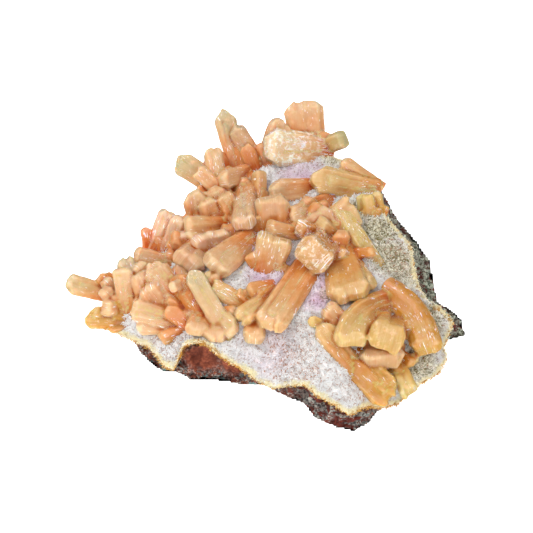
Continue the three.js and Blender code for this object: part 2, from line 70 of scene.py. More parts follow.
ROOT_BACK = 1.5 * MM  # how far a crystal runs on behind its foot
ROOT_DOWN = 2 * MM  # and how far it sinks there
TIP_SLOPE = 0.5  # length of the bevelled tip for each mm that it narrows
EDGE_SOFTNESS = 0.07 * MM  # of the edges between the faces of a tip
STEP_WIDTH = 0.16 * MM  # of a step between two laths
COMB_PITCHES = np.array((1.3, 0.83, 0.55, 0.41)) * MM  # of the fine ridges along a crystal
COMB_DEPTH = 0.016 * MM
SWELL_DEPTH = 0.07 * MM
SWELL_SIZE = 3.5 * MM
LATH_DEPTHS = (-0.09, 0.02)  # how far laths stand back or out, as shares of a crystal's thickness
SIDE_RINGS = 16
SIDES = 72  # of a crystal's cross-section
NARROW_SIDES = 40
SHOOT_SIDES = 36
MOST_SIDE_CRYSTALS = 2
PROUD_SHARE = 0.03  # of a crystal's thickness, by which the narrower ones beside it stand out
SEED_STEP = 50  # between the random seeds of two stated crystals
SIDE_SEEDS = 2000
SHOOT_SEEDS = 3000
STRAND_STEP = 9.7  # between two crystals' places in the clouds of their material
STRAND_COUNT = 17
TIP_RING = 0.35 * MM  # from the last ring of its sides to the tip
CAP_INSETS = (0.94, 0.82, 0.64, 0.42, 0.2)  # rings of the tip, as shares of its thickness
CAP_DRAW_IN = 0.1  # how much narrower the last of them is
SHOOT_LEANS = (-1, 1, 0.3)  # the small crystals at a foot, by how far to its sides they lean
SHOOT_RISE = np.array((0, 0, 0.18))
CORNERS = ((1, 0.35), (0.72, 1), (-0.72, 1), (-1, 0.35), (-1, -0.35), (-0.72, -1), (0.72, -1), (1, -0.35))


def crystal(foot, tip, clear, size, turn, end, **rest):
    """One crystal as the part's source states it, lengths in mm, with what it looks like.

    It is a bundle of laths, by shares pale, yellow (or below 0 pink), glossy, and green at its tip. Its tones
    run from root to tip, from deep orange at 0 to light at 1, the deep orange partly its own colour and
    partly painted shade down among the crystals. Smaller crystals crowd most feet on the druse.
    """
    row = dict(lift=0, waist=0.75, bow=(0, 0), laths=3, pale=0.35, yellow=0, gloss=0.3, green=0)
    row.update(tones=(0, 1), crowded=rest.get("lift", 0) < 1)
    row.update(foot=foot, tip=tip, clear=clear, size=size, turn=turn, end=end, **rest)
    return row


FILLER = {"laths": 2, "pale": 0.1, "tones": (0, 0.8)}  # a small crystal between the groups

CLUSTERS = {}
CLUSTERS["left_spray"] = [
    crystal((-37, -6.4), (-50.2, -3.9), 4.5, (5.2, 3), 12, 0.45, pale=0.5, yellow=0.4, green=0.6),
    crystal((-35, -12.6), (-45.7, -13.4), 2.2, (4.4, 2.6), -8, 0.4,
            laths=2, pale=0.1, yellow=1.2, tones=(0.2, 0.9)),
    crystal((-36, -10.6), (-43.8, -11.6), 3.4, (3.4, 2.4), 15, 0.4,
            laths=2, pale=0.2, yellow=1, tones=(0.2, 0.9)),
    crystal((-36.5, -8), (-40.6, -3), 5, (3.4, 2.8), 20, 0.5, yellow=-0.4),
    crystal((-31.4, -7.2), (-36, 2.3), 7.5, (5, 3.4), 5, 0.5, laths=2, pale=1, green=0.9),
    crystal((-34.7, -11.5), (-36.2, -0.2), 10, (5.2, 3.4), -12, 0.65, laths=4, pale=0.6),
    crystal((-37, -10.5), (-40.7, -5.4), 6, (4, 3.2), 30, 0.5, yellow=-0.3),
    crystal((-36, -10), (-40.8, -10.2), 6, (4.2, 3.4), 0, 0.6, laths=2),
    crystal((-29.5, -6.5), (-32.2, 1), 8, (4.6, 3), 25, 0.5, yellow=-0.2),
    crystal((-16.8, -13.8), (-29.4, 1), 8, (7, 3.4), 14, 0.2,
            laths=5, pale=0.3, yellow=-0.2, gloss=1.1, tones=(0, 0.9)),
    crystal((-14.6, -12.6), (-23.2, -2.4), 5, (5.6, 3), -10, 0.35,
            laths=4, pale=0.05, yellow=-0.1, tones=(0, 0.6)),
    crystal((-13.6, -13.8), (-21, -5.2), 3.5, (5, 3), 8, 0.5,
            laths=4, pale=0.05, yellow=-0.1, tones=(0, 0.6)),
    crystal((-20.6, -1.8), (-23.8, -5.2), 9.5, (2.8, 2), 0, 0.5, lift=5, laths=1, pale=0.6, yellow=-0.3),
    crystal((-9.6, -15.4), (-19, -0.8), 6.5, (5, 2.4), 5, 0.2,
            waist=0.95, lift=2, pale=0.7, yellow=0.1, tones=(0.5, 1), green=0.9, gloss=0.5),
    crystal((-15.2, -8.5), (-7.6, -16), 2.4, (4.6, 3), 10, 0.35,
            lift=1, laths=2, pale=0.5, yellow=0.2, tones=(0.7, 1)),
    crystal((-20.2, -13.4), (-34, -10.6), 4.5, (6.4, 3.8), -6, 0.55, laths=5, pale=0.6, gloss=0.7),
    crystal((-23.6, -13.8), (-32.8, -14.6), 3, (5.2, 3.4), 8, 0.5, pale=0.6),
    crystal((-16.5, -11), (-17.6, -16.6), 2.6, (6, 3.5), 0, 0.4, pale=0.3),
    crystal((-13.5, -11.5), (-12.3, -18.6), 2, (6.5, 3.5), -8, 0.35, pale=0.3),
    crystal((-11, -11.5), (-8.4, -16.8), 2.4, (5, 3), 10, 0.4, pale=0.3),
    crystal((-29, -9.7), (-32, -1.4), 7, (6, 4), 20, 0.6, laths=2, yellow=-0.4),
    crystal((-25.2, -11), (-30.2, -4.6), 6.5, (6.2, 4), -20, 0.6, laths=2, yellow=-0.5),
    crystal((-19.5, -7), (-22.5, 0.8), 3, (5, 3.4), 0, 0.5, **FILLER),
]
CLUSTERS["left_fan"] = [
    crystal((-28.5, 4.5), (-24, 14.2), 5, (5.5, 3.5), 12, 0.4,
            laths=4, pale=0.9, yellow=-0.9, gloss=1.2, tones=(0.3, 1)),
    crystal((-25.2, 4), (-21.6, 12.8), 5.4, (4.6, 3.5), -15, 0.4,
            pale=0.7, yellow=-0.8, gloss=0.9, tones=(0.2, 1)),
]
CLUSTERS["upper_left_spray"] = [
    crystal((-16.5, 10.2), (-18.2, 19), 7.5, (6.6, 3.6), -10, 0.4, laths=2, gloss=0.5, green=0.2),
    crystal((-13.5, 11), (-15.2, 17), 6, (5.2, 3.6), 20, 0.5, laths=1),
    crystal((-10.8, 11.8), (-20.6, 9.4), 6, (6.4, 3.8), 6, 0.65, lift=2, laths=2, pale=0.4, yellow=0.1),
    crystal((-22.7, 2), (-20, 8.6), 4.6, (4, 3), 25, 0.4, pale=1, yellow=-1, gloss=1),
    crystal((-22, 1.5), (-33.4, 2.9), 5.4, (4.8, 4.2), 10, 0.6, yellow=-0.2, gloss=0.6),
    crystal((-17.2, 5.4), (-19.8, 0.6), 4.5, (8.4, 5), 0, 0.65, laths=1, pale=0.4, yellow=-0.5),
    crystal((-15.2, 4), (-17.2, 7.4), 4.6, (4.4, 3), 15, 0.5, laths=2, pale=0.7, yellow=-0.8, gloss=1),
    crystal((-13, 5), (-14.8, 8.6), 4.6, (4.6, 3), -15, 0.5, laths=2, pale=0.7, yellow=-0.8, gloss=1),
    crystal((-10.5, 6), (-11.6, 9), 4.2, (4.6, 3), 5, 0.5, laths=2, pale=0.5, yellow=-0.6),
    crystal((-7.6, 18.4), (-22.6, 26.6), 4, (6.6, 3), -10, 0.45, pale=0.45, yellow=0.2, green=1),
    crystal((-10.6, 15.6), (-13.7, 29.7), 6.5, (5.2, 3.8), 8, 0.5, pale=0.4, gloss=0.8),
    crystal((-8, 18), (-17.6, 24.3), 7, (4.4, 3.4), 0, 0.7, lift=3, laths=2),
    crystal((-4.4, 26), (-11.4, 21.2), 6.5, (5.2, 3.2), -10, 0.4, lift=3, laths=2, pale=0.4),
    crystal((-7, 24), (-11, 39.6), 10, (6, 3.6), 10, 0.15, waist=0.6, pale=0.55, gloss=0.6, green=1),
    crystal((-1.2, 25.4), (-8.4, 35.2), 8, (5.2, 3.8), -20, 0.3,
            laths=4, yellow=-0.9, green=0.6, tones=(0.3, 0.9)),
    crystal((-5, 24.4), (-5.7, 10), 4.5, (6.2, 4), 10, 0.4,
            lift=3, laths=5, yellow=-0.4, gloss=1, tones=(0.2, 1), pale=0.4),
    crystal((-8.5, 15.2), (-6.8, 9.6), 2.6, (3.2, 2.6), 0, 0.3, lift=2, laths=2, yellow=-0.8),
    crystal((-1.6, 15.5), (-1.8, 24), 3.5, (3.6, 3.6), 30, 0.4, laths=2, pale=0.1, yellow=0.3),
    crystal((-10.2, 11.5), (-14, 19.6), 5.6, (7.2, 4), 0, 0.5, pale=0, yellow=-0.2),
    crystal((-7.6, 12.2), (-11, 18.4), 5, (5, 4), 8, 0.5, pale=0),
    crystal((-8.4, 6.6), (-9.6, 11), 3, (5, 3.4), 10, 0.5, **FILLER),
]
CLUSTERS["top_blades"] = [
    crystal((10.8, 29), (8.9, 41.5), 8, (10.6, 5), -4, 0.5, laths=2, pale=0.4, gloss=0.1),
    crystal((15, 30.6), (-0.4, 30.1), 5.5, (10.4, 4.6), 6, 0.5,
            lift=2, pale=1, yellow=0.1, gloss=2, tones=(0.1, 1)),
    crystal((-1.4, 24.8), (4, 36.8), 8.5, (6.4, 3.4), 15, 0.45, laths=2, yellow=-0.2),
    crystal((13.5, 30.6), (19.8, 32.2), 4, (5, 4.4), 0, 0.6, laths=1, pale=0.5, yellow=0.7, green=1),
    crystal((3.6, 28.5), (1.8, 36.6), 6.5, (2.4, 2.4), 0, 0.4, lift=2.5, laths=1, pale=0.8, green=1),
]
CLUSTERS["upper_centre_blades"] = [
    crystal((12.2, 21), (0.8, 18.4), 3.4, (7, 4), 0, 0.3, lift=1.5, laths=2),
    crystal((26.5, 20.2), (11, 22.1), 3.8, (8, 4.6), 6, 0.3,
            waist=0.95, lift=1, yellow=0.5, gloss=0.6, tones=(0.35, 0.95), crowded=False),
    crystal((27.2, 20.6), (18, 25.6), 2.8, (6, 4), -10, 0.6,
            waist=0.95, lift=0.5, laths=2, yellow=0.3, tones=(0.4, 0.9), crowded=False),
]
CLUSTERS["upper_right_tips"] = [
    crystal((26.5, 12.7), (25, 18.2), 3.7, (3.5, 3), 0, 0.5, laths=2, yellow=0.9, gloss=0.8),
    crystal((28.5, 13.2), (27.4, 19), 3, (3.2, 3), 10, 0.5, laths=2, yellow=1),
    crystal((24.5, 13.5), (23.7, 18.4), 3, (3, 2), -10, 0.4, laths=2, pale=0.8, yellow=0.9, green=0.4),
]
CLUSTERS["front_blades"] = [
    crystal((-2.5, 9.5), (-13.7, -0.6), 4.6, (8.2, 4.2), 8, 0.5, lift=1, laths=4, pale=0.4, gloss=0.6),
    crystal((-4, -9.4), (-14.2, -4.6), 3.2, (4.8, 3.6), 0, 0.5, yellow=0.4, gloss=1),
    crystal((-11, -6.5), (-15, -0.8), 3, (4, 3), 20, 0.4, laths=2, pale=0.6, yellow=0.3, gloss=1),
    crystal((-12, -6), (-13.8, -2), 2.6, (4, 3), 0, 0.5, **FILLER),
]
CLUSTERS["centre_blades"] = [
    crystal((0, -0.5), (2.5, 8), 6, (9.2, 6), 0, 0.8, laths=1, pale=0.4, yellow=0.2, gloss=0.7),
    crystal((1.7, 9.5), (1.4, 17.6), 6.4, (8.8, 6), 4, 0.7, laths=1, pale=0.3, gloss=0.1),
    crystal((11, 9), (0.2, 9.7), 4, (4.4, 4.8), 0, 0.6, lift=1, laths=2, pale=0.1),
    crystal((16, 18.2), (6.2, 11.8), 3, (6, 3.8), 10, 0.45, lift=2),
    crystal((12, 8.8), (22.6, 14.4), 4, (8.8, 4), 0, 0.75, laths=2, pale=0.3, yellow=0.3, tones=(0.2, 0.9)),
    crystal((28, 0.8), (17, 15.6), 3.4, (5, 4.2), 30, 0.35, lift=0.5, waist=0.9, laths=4,
            pale=0.3, yellow=0.8, gloss=1.2, crowded=False, tones=(0.7, 1)),
    crystal((16, 7.7), (12.4, 14.6), 3.4, (8, 4.2), 0, 0.55, laths=4, yellow=-0.5),
    crystal((14.7, 7), (8.2, 9.4), 2.6, (4.6, 4), 0, 0.5, yellow=-0.6),
    crystal((17.2, 8.5), (12.9, 11), 4.2, (4.5, 4), 0, 0.6, laths=2, yellow=0.3),
    crystal((14.7, 7), (11.5, 2.6), 6.5, (9.6, 7.2), 0, 0.7,
            laths=2, pale=0.15, yellow=0.3, gloss=1.6, tones=(0.2, 0.85)),
    crystal((11, 2.4), (0.2, -15.2), 5, (8.4, 5), 24, 0.5,
            lift=1.5, waist=0.9, pale=0.3, yellow=0.2, gloss=0.4, tones=(0.1, 0.9)),
    crystal((18, 5.2), (21.2, -8.4), 3.2, (11.4, 5.2), -4, 0.6,
            lift=1, waist=0.65, laths=1, pale=0.3, yellow=0.5, gloss=0.5, tones=(0.1, 0.85)),
    crystal((2, -5.4), (-7, -13.2), 3.8, (5.2, 3.8), 12, 0.4, laths=4, yellow=0.4),
    crystal((-2.5, -10.5), (-3.4, -19.2), 3, (5.8, 4), 0, 0.4, laths=2, pale=0.2, yellow=0.1),
    crystal((21.4, 3), (26, -5.6), 2, (5, 4), 20, 0.45, yellow=0.5, gloss=0.7),
    crystal((9.4, 7.6), (6.4, 10.6), 3.4, (4.4, 3.6), 0, 0.5, **FILLER),
    crystal((18.4, 4.8), (18.8, 9), 4, (4.6, 3.6), 0, 0.5, **FILLER),
    crystal((13.6, 13.4), (8.8, 16.6), 3.4, (5, 3.6), 0, 0.5, **FILLER),
]
CLUSTERS["right_sheaf"] = [
    crystal((30.5, -5.4), (40.2, -22.2), 7.5, (8, 6), 10, 0.55, lift=1, waist=0.9, bow=(2.2, 1.2),
            laths=1, pale=0, yellow=1.25, gloss=0.9, tones=(0.3, 0.75)),
    crystal((31.5, -8), (20.8, -19.8), 5.5, (7.8, 5), 0, 0.55,
            lift=1, waist=0.85, bow=(-2.8, 1.8), pale=0.4, yellow=0.6, tones=(0.1, 1)),
    crystal((31, -13.6), (30, -17.8), 10, (9, 7.6), 0, 0.7, laths=1, pale=0.1, gloss=0.1, yellow=0.7),
    crystal((29, -18.5), (28.8, -24), 4.4, (10.6, 5), 0, 0.65, laths=2, pale=0.3),
    crystal((30.5, -19.7), (33.4, -22.6), 6, (3.8, 3), 0, 0.5, laths=2, pale=0.4),
    crystal((24.4, -27.6), (13.2, -14.4), 2.2, (5.6, 4), 12, 0.35,
            lift=0.5, waist=0.95, pale=0.2, yellow=0.5, tones=(0.1, 0.9), crowded=False),
    crystal((19.7, -22.2), (31.2, -33.8), 3.4, (7, 4), 6, 0.5,
            lift=0.5, laths=2, pale=0.1, yellow=1.25, crowded=False, tones=(0.1, 0.75)),
    crystal((22.2, -21), (31.7, -31.4), 5, (6, 4), -12, 0.45,
            lift=0.5, pale=0.1, yellow=1.25, gloss=0.7, crowded=False, tones=(0.1, 0.75)),
    crystal((16.4, -14.9), (10.6, -13.2), 2, (3, 2.2), 0, 0.4, laths=1, pale=0.3, yellow=0.9),
    crystal((21.5, -15), (14.4, -10), 2.4, (5.2, 4), 0, 0.5, laths=2, pale=0.2),
    crystal((32.2, -22.2), (36, -32.2), 3, (4.8, 4), 0, 0.5, laths=2, pale=0.5, yellow=1, green=0.4),
    crystal((32.7, -25.5), (37.6, -22.2), 2, (2.8, 2.4), 0, 0.5, laths=2, pale=0.3, yellow=0.3),
]


def tree_of(made):
    mesh = made.data
    return BVHTree.FromPolygons([v.co for v in mesh.vertices], [p.vertices for p in mesh.polygons])


CRUST = tree_of(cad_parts["druse_crust"])
SKY = 0.1  # above everything
RIM_SLACK = 0.8 * MM
ROCK_RELIEF = 1.6 * MM
ROCK_VOXEL = 0.5 * MM
# The ground is less than white as painted shade in the gaps between the grains.
GROUND_SHADE = 0.8  # of the druse between its grains, where 1 is white
ZONE_HEIGHT = 7 * MM  # of the rock's side, where its patches are sighted
BAND_HEIGHT = 4 * MM
FOOT_HEIGHT = 1.5 * MM  # up to here the rock's relief stays level, so that its base is flat
WAVE_COUNT = 14
HALVINGS = 12  # enough to find a height to a hundredth of a millimetre
HIGHEST = 35 * MM  # above any crystal's tip
DOWN = Vector((0, 0, -1))


def sighted(right, up, height):
    """The point that looks right and up of the middle and is height above the base."""
    seen = MIDDLE + right * VIEW_RIGHT + up * VIEW_UP
    return EYE + (seen - EYE) * (EYE[2] - height) / (EYE[2] - seen[2])


def crust_height(x, y):
    """The druse's height at a place, or past the plate its rim's height on the way there."""
    hit = CRUST.ray_cast(Vector((x, y, SKY)), DOWN)[0]
    if hit:
        return hit.z
    near, far, height = 0.0, 1.0, 0.0
    for _ in range(HALVINGS):
        share = (near + far) / 2
        spot = PLATE_CENTRE + (np.array((x, y)) - PLATE_CENTRE) * share
        hit = CRUST.ray_cast(Vector((*spot, SKY)), DOWN)[0]
        if hit:
            near, height = share, hit.z
        else:
            far = share
    return height


def over_crust(right, up, lift):
    """The point sighted at right and up that is lift above the druse."""
    low, high = 0.0, HIGHEST
    for _ in range(HALVINGS):
        height = (low + high) / 2
        point = sighted(right, up, height)
        if height < crust_height(point[0], point[1]) + lift:
            low = height
        else:
            high = height
    return sighted(right, up, low)


def waves(points, size, number):
    """Smooth random swells about as long as size, mostly from -1 to 1, the same each run."""
    draw = np.random.default_rng(number)
    count = WAVE_COUNT
    ways = draw.normal(size=(count, 3))
    ways /= np.linalg.norm(ways, axis=1)[:, None]
    lengths = size * draw.uniform(0.7, 1.6, count)
    phases = draw.uniform(0, 2 * math.pi, count)
    return np.sin(points @ (2 * math.pi * ways / lengths[:, None]).T + phases).sum(1) / math.sqrt(count)


def unit(vectors):
    return vectors / np.linalg.norm(vectors, axis=-1)[..., None]


def smooth_step(values):
    share = np.clip(values, 0, 1)
    return share * share * (3 - 2 * share)


def section(width, thickness, sides):
    """A crystal's cross-section as evenly spaced points, its corners a little rounded, and where out is."""
    loop = np.array(((1, 0), *CORNERS, (1, 0))) * (width / 2, thickness / 2)
    reach = np.concatenate(([0], np.linalg.norm(np.diff(loop, axis=0), axis=1).cumsum()))
    at = np.linspace(0, reach[-1], sides, endpoint=False)
    ring = np.stack([np.interp(at, reach, loop[:, axis]) for axis in (0, 1)], 1)
    ring = (np.roll(ring, 1, 0) + 2 * ring + np.roll(ring, -1, 0)) / 4
    forward = np.roll(ring, -1, 0) - np.roll(ring, 1, 0)
    return ring, unit(np.stack((forward[:, 1], -forward[:, 0]), 1))


def tip_faces(width, thickness, end, narrowing, draw):
    """The faces that end a crystal: where each one crosses the axis past the tip, and its two slopes."""
    narrow, thin = end * width / 2, (0.35 + 0.3 * end) * thickness / 2
    rows = [(0, *draw.uniform(-0.18, 0.18, 2))]
    for side in (-1, 1):
        steep = narrowing / (width / 2 - narrow) * draw.uniform(0.7, 1.4)
        rows.append((steep * narrow, -side * steep, draw.uniform(-0.2, 0.2)))
        steep = narrowing / (thickness / 2 - thin) * draw.uniform(0.5, 1.1)
        rows.append((steep * thin, draw.uniform(-0.2, 0.2), -side * steep))
    return np.array(rows)


def past_tip(flat, faces):
    """How far past its tip a crystal runs at places of its section, which is below 0 away from its axis."""
    limits = faces[:, 0] + flat @ faces[:, 1:].T
    return -EDGE_SOFTNESS * np.log(np.exp(-limits / EDGE_SOFTNESS).sum(-1))


def stepped(across, width, sizes, draw):
    """A value that changes in steps across a crystal, one for each of the laths that it is a bundle of."""
    edges = np.sort(draw.uniform(-0.45, 0.45, len(sizes) - 1)) * width
    rises = smooth_step((across[..., None] - edges) / STEP_WIDTH + 0.5)
    return sizes[0] + (np.diff(sizes) * rises).sum(-1)


def prism(spine, width, thickness, turn, row, number, sides):
    """One crystal along a spine of three points: its closed mesh, what its material reads, and its row."""
    draw = np.random.default_rng(number)
    root, middle, tip = spine
    length = np.linalg.norm(tip - root)
    end, waist = row["end"], row["waist"]
    narrowing = min(0.45 * length, TIP_SLOPE * width * (1 - end))
    shoulder = 1 - narrowing / length
    ring, outward = section(width, thickness, sides)
    lanes = 2 * row["laths"] + 1
    front = stepped(ring[:, 0], width, draw.uniform(*LATH_DEPTHS, lanes) * thickness, draw)
    back = stepped(ring[:, 0], width, draw.uniform(*LATH_DEPTHS, lanes) * thickness, draw)
    comb = np.sin(2 * math.pi * ring[:, :1] / COMB_PITCHES + draw.uniform(0, 6, len(COMB_PITCHES))).sum(1)
    relief = np.where(ring[:, 1] < 0, front, back) * np.abs(outward[:, 1]) + COMB_DEPTH * comb
    ring = ring + outward * relief[:, None]
    faces = tip_faces(width, thickness, end, narrowing, draw)
    shorts = draw.uniform(0, 1, lanes) ** 2 * min(0.07 * length, 0.16 * width)
    shares = np.array([1 - inset for inset in CAP_INSETS])[:, None, None]
    caps = ring * np.concatenate((1 - CAP_DRAW_IN * shares, 1 - shares), 2)
    seam = ring[: sides // 2 + 1] * (1 - CAP_DRAW_IN, 0)
    flat = np.concatenate((ring, *caps, seam))
    step_draw = np.random.default_rng(number + 5)
    tops = 1 + (past_tip(flat, faces) - stepped(flat[:, 0], width, shorts, step_draw)) / length
    climbs = [*np.linspace(0, 1 - TIP_RING / length, SIDE_RINGS - 1), 1]
    t = np.concatenate(([0], *[climb * tops[:sides] for climb in climbs], tops[sides:]))
    flat = np.vstack(([[0, 0]], *[ring] * (SIDE_RINGS - 1), flat))
    flat = flat * (waist + (1 - waist) * np.clip(t / shoulder, 0, 1) ** 0.8)[:, None]
    u = t[:, None]
    centre = (1 - u) ** 2 * root + 2 * (1 - u) * u * middle + u * u * tip
    tangent = unit((1 - u) * (middle - root) + u * (tip - middle))
    across = unit(np.cross(tangent, EYE - centre))
    across = across * math.cos(turn) + np.cross(tangent, across) * math.sin(turn)
    points = centre + flat[:, :1] * across + flat[:, 1:] * np.cross(tangent, across)
    points += SWELL_DEPTH * np.stack([waves(points, SWELL_SIZE, number * 3 + axis) for axis in range(3)], 1)
    strand = (flat[:, 0] / MM + STRAND_STEP * number, t * length / MM, np.full(len(t), number % STRAND_COUNT))
    looks = {"along": np.clip(t, 0, 1), "strand": np.stack(strand, 1)}
    return points, closed_faces(SIDE_RINGS + len(CAP_INSETS), sides), looks, row


def closed_faces(rings, sides):
    """Faces of a closed loft: a point, rings of equal count, and a seam that zips the last ring together."""
    at = np.arange(sides)
    nxt = (at + 1) % sides
    first = 1 + sides * np.arange(rings - 1)[:, None]
    quads = np.stack((first + at, first + nxt, first + sides + nxt, first + sides + at), -1).reshape(-1, 4)
    start = np.stack((np.zeros(sides, int), 1 + nxt, 1 + at), 1)
    last = 1 + sides * (rings - 1)
    seam = last + sides + np.minimum(at, sides - at)
    finish = np.stack((last + at, last + nxt, seam[nxt], seam), 1)
    return start.tolist() + quads.tolist() + finish.tolist()


def side_crystals(row, root, tip, across, through, turn, bow, number):
    """Narrower crystals of the same bundle, which stand a little proud of its broad faces."""
    width, thickness = (side * MM for side in row["size"])
    draw = np.random.default_rng(SIDE_SEEDS + number)
    count = min(MOST_SIDE_CRYSTALS, max(0, row["laths"] - 2))
    made = []
    for k in range(count):
        side = ((k + 0.5) / count - 0.5) * 1.6 + draw.uniform(-0.15, 0.15)
        narrow, thin = width * draw.uniform(0.3, 0.5), thickness * draw.uniform(0.5, 0.7)
        aside = across * side * (width - narrow) / 2
        above = -through * ((thickness - thin) / 2 + PROUD_SHARE * thickness)
        short = draw.uniform(0.03, 0.22)
        begin = root + 0.6 * aside + 0.6 * above
        finish = tip - short * (tip - root) + 1.05 * aside + above
        spine = (begin, (begin + finish) / 2 + bow * (1 - short), finish)
        own = dict(row, end=draw.uniform(0.25, 0.6), laths=1)
        tilt = turn + math.radians(draw.uniform(-10, 10))
        made.append(prism(spine, narrow, thin, tilt, own, SEED_STEP * number + k, NARROW_SIDES))
    return made


def shoots(row, foot, along, across, turn, number):
    """Shorter crystals that crowd a crystal's foot, deeper-coloured like its root, which is partly painted
    shade.
    """
    width, thickness = (side * MM for side in row["size"])
    draw = np.random.default_rng(SHOOT_SEEDS + number)
    length = np.linalg.norm(along)
    made = []
    for k, side in enumerate(SHOOT_LEANS):
        angle = math.radians(draw.uniform(15, 50))
        way = unit(along / length * math.cos(angle) + side * across * math.sin(angle) + SHOOT_RISE)
        begin = foot + side * across * width * draw.uniform(0.2, 0.4) - ROOT_BACK * way
        begin[2] -= 0.4 * ROOT_DOWN
        finish = begin + way * (length * draw.uniform(0.34, 0.55) + ROOT_BACK)
        own = dict(row, end=draw.uniform(0.3, 0.6), laths=1, pale=0.1, green=0, tones=(0, 0.7))
        size = draw.uniform(0.5, 0.72)
        tilt = turn + math.radians(draw.uniform(-40, 40))
        spine = (begin, (begin + finish) / 2, finish)
        seed = SEED_STEP * number + 20 + k
        made.append(prism(spine, size * width, size * thickness, tilt, own, seed, SHOOT_SIDES))
    return made


def bundle(row, number):
    """All that a stated crystal is made of: its prism, the narrower ones beside it and those at its foot."""
    width, thickness = (side * MM for side in row["size"])
    foot = over_crust(*(MM * np.array(row["foot"])), row["lift"] * MM)
    tip = over_crust(*(MM * np.array(row["tip"])), row["clear"] * MM)
    along = unit(tip - foot)
    root = foot - ROOT_BACK * along
    root[2] -= ROOT_DOWN + row["lift"] * MM / 2
    bow = 2 * MM * (row["bow"][0] * VIEW_RIGHT + row["bow"][1] * VIEW_UP)
    turn = math.radians(row["turn"])
    across = unit(np.cross(along, EYE - tip))
    across = across * math.cos(turn) + np.cross(along, across) * math.sin(turn)
    through = np.cross(along, across)
    spine = (root, (root + tip) / 2 + bow, tip)
    made = [prism(spine, width, thickness, turn, row, SEED_STEP * number, SIDES)]
    made += side_crystals(row, root, tip, across, through, turn, bow, number)
    if row["crowded"]:
        made += shoots(row, foot, tip - foot, across, turn, number)
    return made


ATTRIBUTE_KINDS = {1: ("FLOAT", "value"), 3: ("FLOAT_VECTOR", "vector"), 4: ("FLOAT_COLOR", "color")}


def set_attribute(mesh, name, values):
    """Gives each point of a mesh a number, a vector or a colour."""
    values = np.asarray(values, np.float32)
    kind, field = ATTRIBUTE_KINDS[values.size // len(values)]
    mesh.attributes.new(name, kind, "POINT").data.foreach_set(field, values.ravel())


def shown(made):
    bpy.context.scene.collection.objects.link(made)
    return made


def read(items, key, width=3):
    """A number or a vector that each of a mesh's points or faces has."""
    values = np.empty(len(items) * width)
    items.foreach_get(key, values)
    return values.reshape(-1, width) if width > 1 else values


def change(made, kind, **settings):
    """Puts a modifier on an object."""
    modifier = made.modifiers.new(kind, kind)
    for key, value in settings.items():
        setattr(modifier, key, value)


def mesh_object(name, points, faces, **values):
    """An object of a mesh, with an attribute for each of the named values."""
    mesh = bpy.data.meshes.new(name)
    mesh.from_pydata(points, [], faces)
    for key, data in values.items():
        set_attribute(mesh, key, data)
    return bpy.data.objects.new(name, mesh)


def crystal_objects(rows, first_number):
    objects = []
    for k, row in enumerate(rows):
        for points, faces, seen, own in bundle(row, first_number + k):
            looks = np.empty((len(points), 4))
            looks[:] = (0, own["yellow"], own["pale"], own["gloss"])
            low, high = own["tones"]
            looks[:, 0] = low + (high - low) * seen["along"]
            green = own["green"] * seen["along"] ** 3
            made = mesh_object("lath", points, faces, looks=looks, strand=seen["strand"], green=green)
            objects.append(made)
    return objects


def evaluated(made):
    """A plain object of what another one and its modifiers make."""
    name = made.name
    bpy.context.view_layer.update()
    graph = bpy.context.evaluated_depsgraph_get()
    mesh = bpy.data.meshes.new_from_object(made.evaluated_get(graph))
    bpy.data.objects.remove(made)
    mesh.name = name
    return shown(bpy.data.objects.new(name, mesh))


def joined(made, others):
    """A closed mesh and others as one."""
    group = bpy.data.collections.new("operands")
    for other in others:
        group.objects.link(other)
    bpy.context.scene.collection.children.link(group)
    settings = {"operation": "UNION", "solver": "MANIFOLD", "operand_type": "COLLECTION"}
    change(made, "BOOLEAN", collection=group, **settings)
    result = evaluated(made)
    for other in others:
        bpy.data.objects.remove(other)
    bpy.data.collections.remove(group)
    return result


def shade_smooth(made, angle=None):
    made.data.polygons.foreach_set("use_smooth", np.ones(len(made.data.polygons), bool))
    if angle:
        made.data.set_sharp_from_angle(angle=math.radians(angle))


CRYSTAL_ATTRIBUTES = {"looks": "FLOAT_COLOR", "strand": "FLOAT_VECTOR", "green": "FLOAT"}


def sampling_nodes(source):
    """Geometry nodes that give each point what the nearest place of another mesh has."""
    group = bpy.data.node_groups.new("sampling", "GeometryNodeTree")
    group.interface.new_socket("Geometry", in_out="INPUT", socket_type="NodeSocketGeometry")
    group.interface.new_socket("Geometry", in_out="OUTPUT", socket_type="NodeSocketGeometry")
    flow = group.nodes.new("NodeGroupInput").outputs[0]
    taken = node(group, "GeometryNodeObjectInfo", {"Object": source}).outputs["Geometry"]
    for name, kind in CRYSTAL_ATTRIBUTES.items():
        value = node(group, "GeometryNodeInputNamedAttribute", {"Name": name}, data_type=kind).outputs[0]
        inputs = {"Mesh": taken, "Value": value}
        near = node(group, "GeometryNodeSampleNearestSurface", inputs, data_type=kind).outputs["Value"]
        inputs = {"Geometry": flow, "Name": name, "Value": near}
        flow = node(group, "GeometryNodeStoreNamedAttribute", inputs, data_type=kind).outputs[0]
    group.links.new(flow, group.nodes.new("NodeGroupOutput").inputs[0])
    return group


CRYSTAL_VOXEL = 0.278 * MM
SOFT_ROUNDS = 2
DENT_ROUNDS = 45  # so wide that what is left of a point's place tells crevices from edges


def smoothed(made, points, rounds):
    """A mesh's points after so many rounds of each one moving halfway to the middle of its neighbours."""
    ends = np.empty(2 * len(made.data.edges), np.int32)
    made.data.edges.foreach_get("vertices", ends)
    one, other = ends.reshape(-1, 2).T
    counts = np.bincount(ends, minlength=len(points))[:, None]
    for _ in range(rounds):
        sums = np.zeros_like(points)
        for axis in range(3):
            sums[:, axis] += np.bincount(one, points[other, axis], len(points))
            sums[:, axis] += np.bincount(other, points[one, axis], len(points))
        points = (points + sums / counts) / 2
    return points


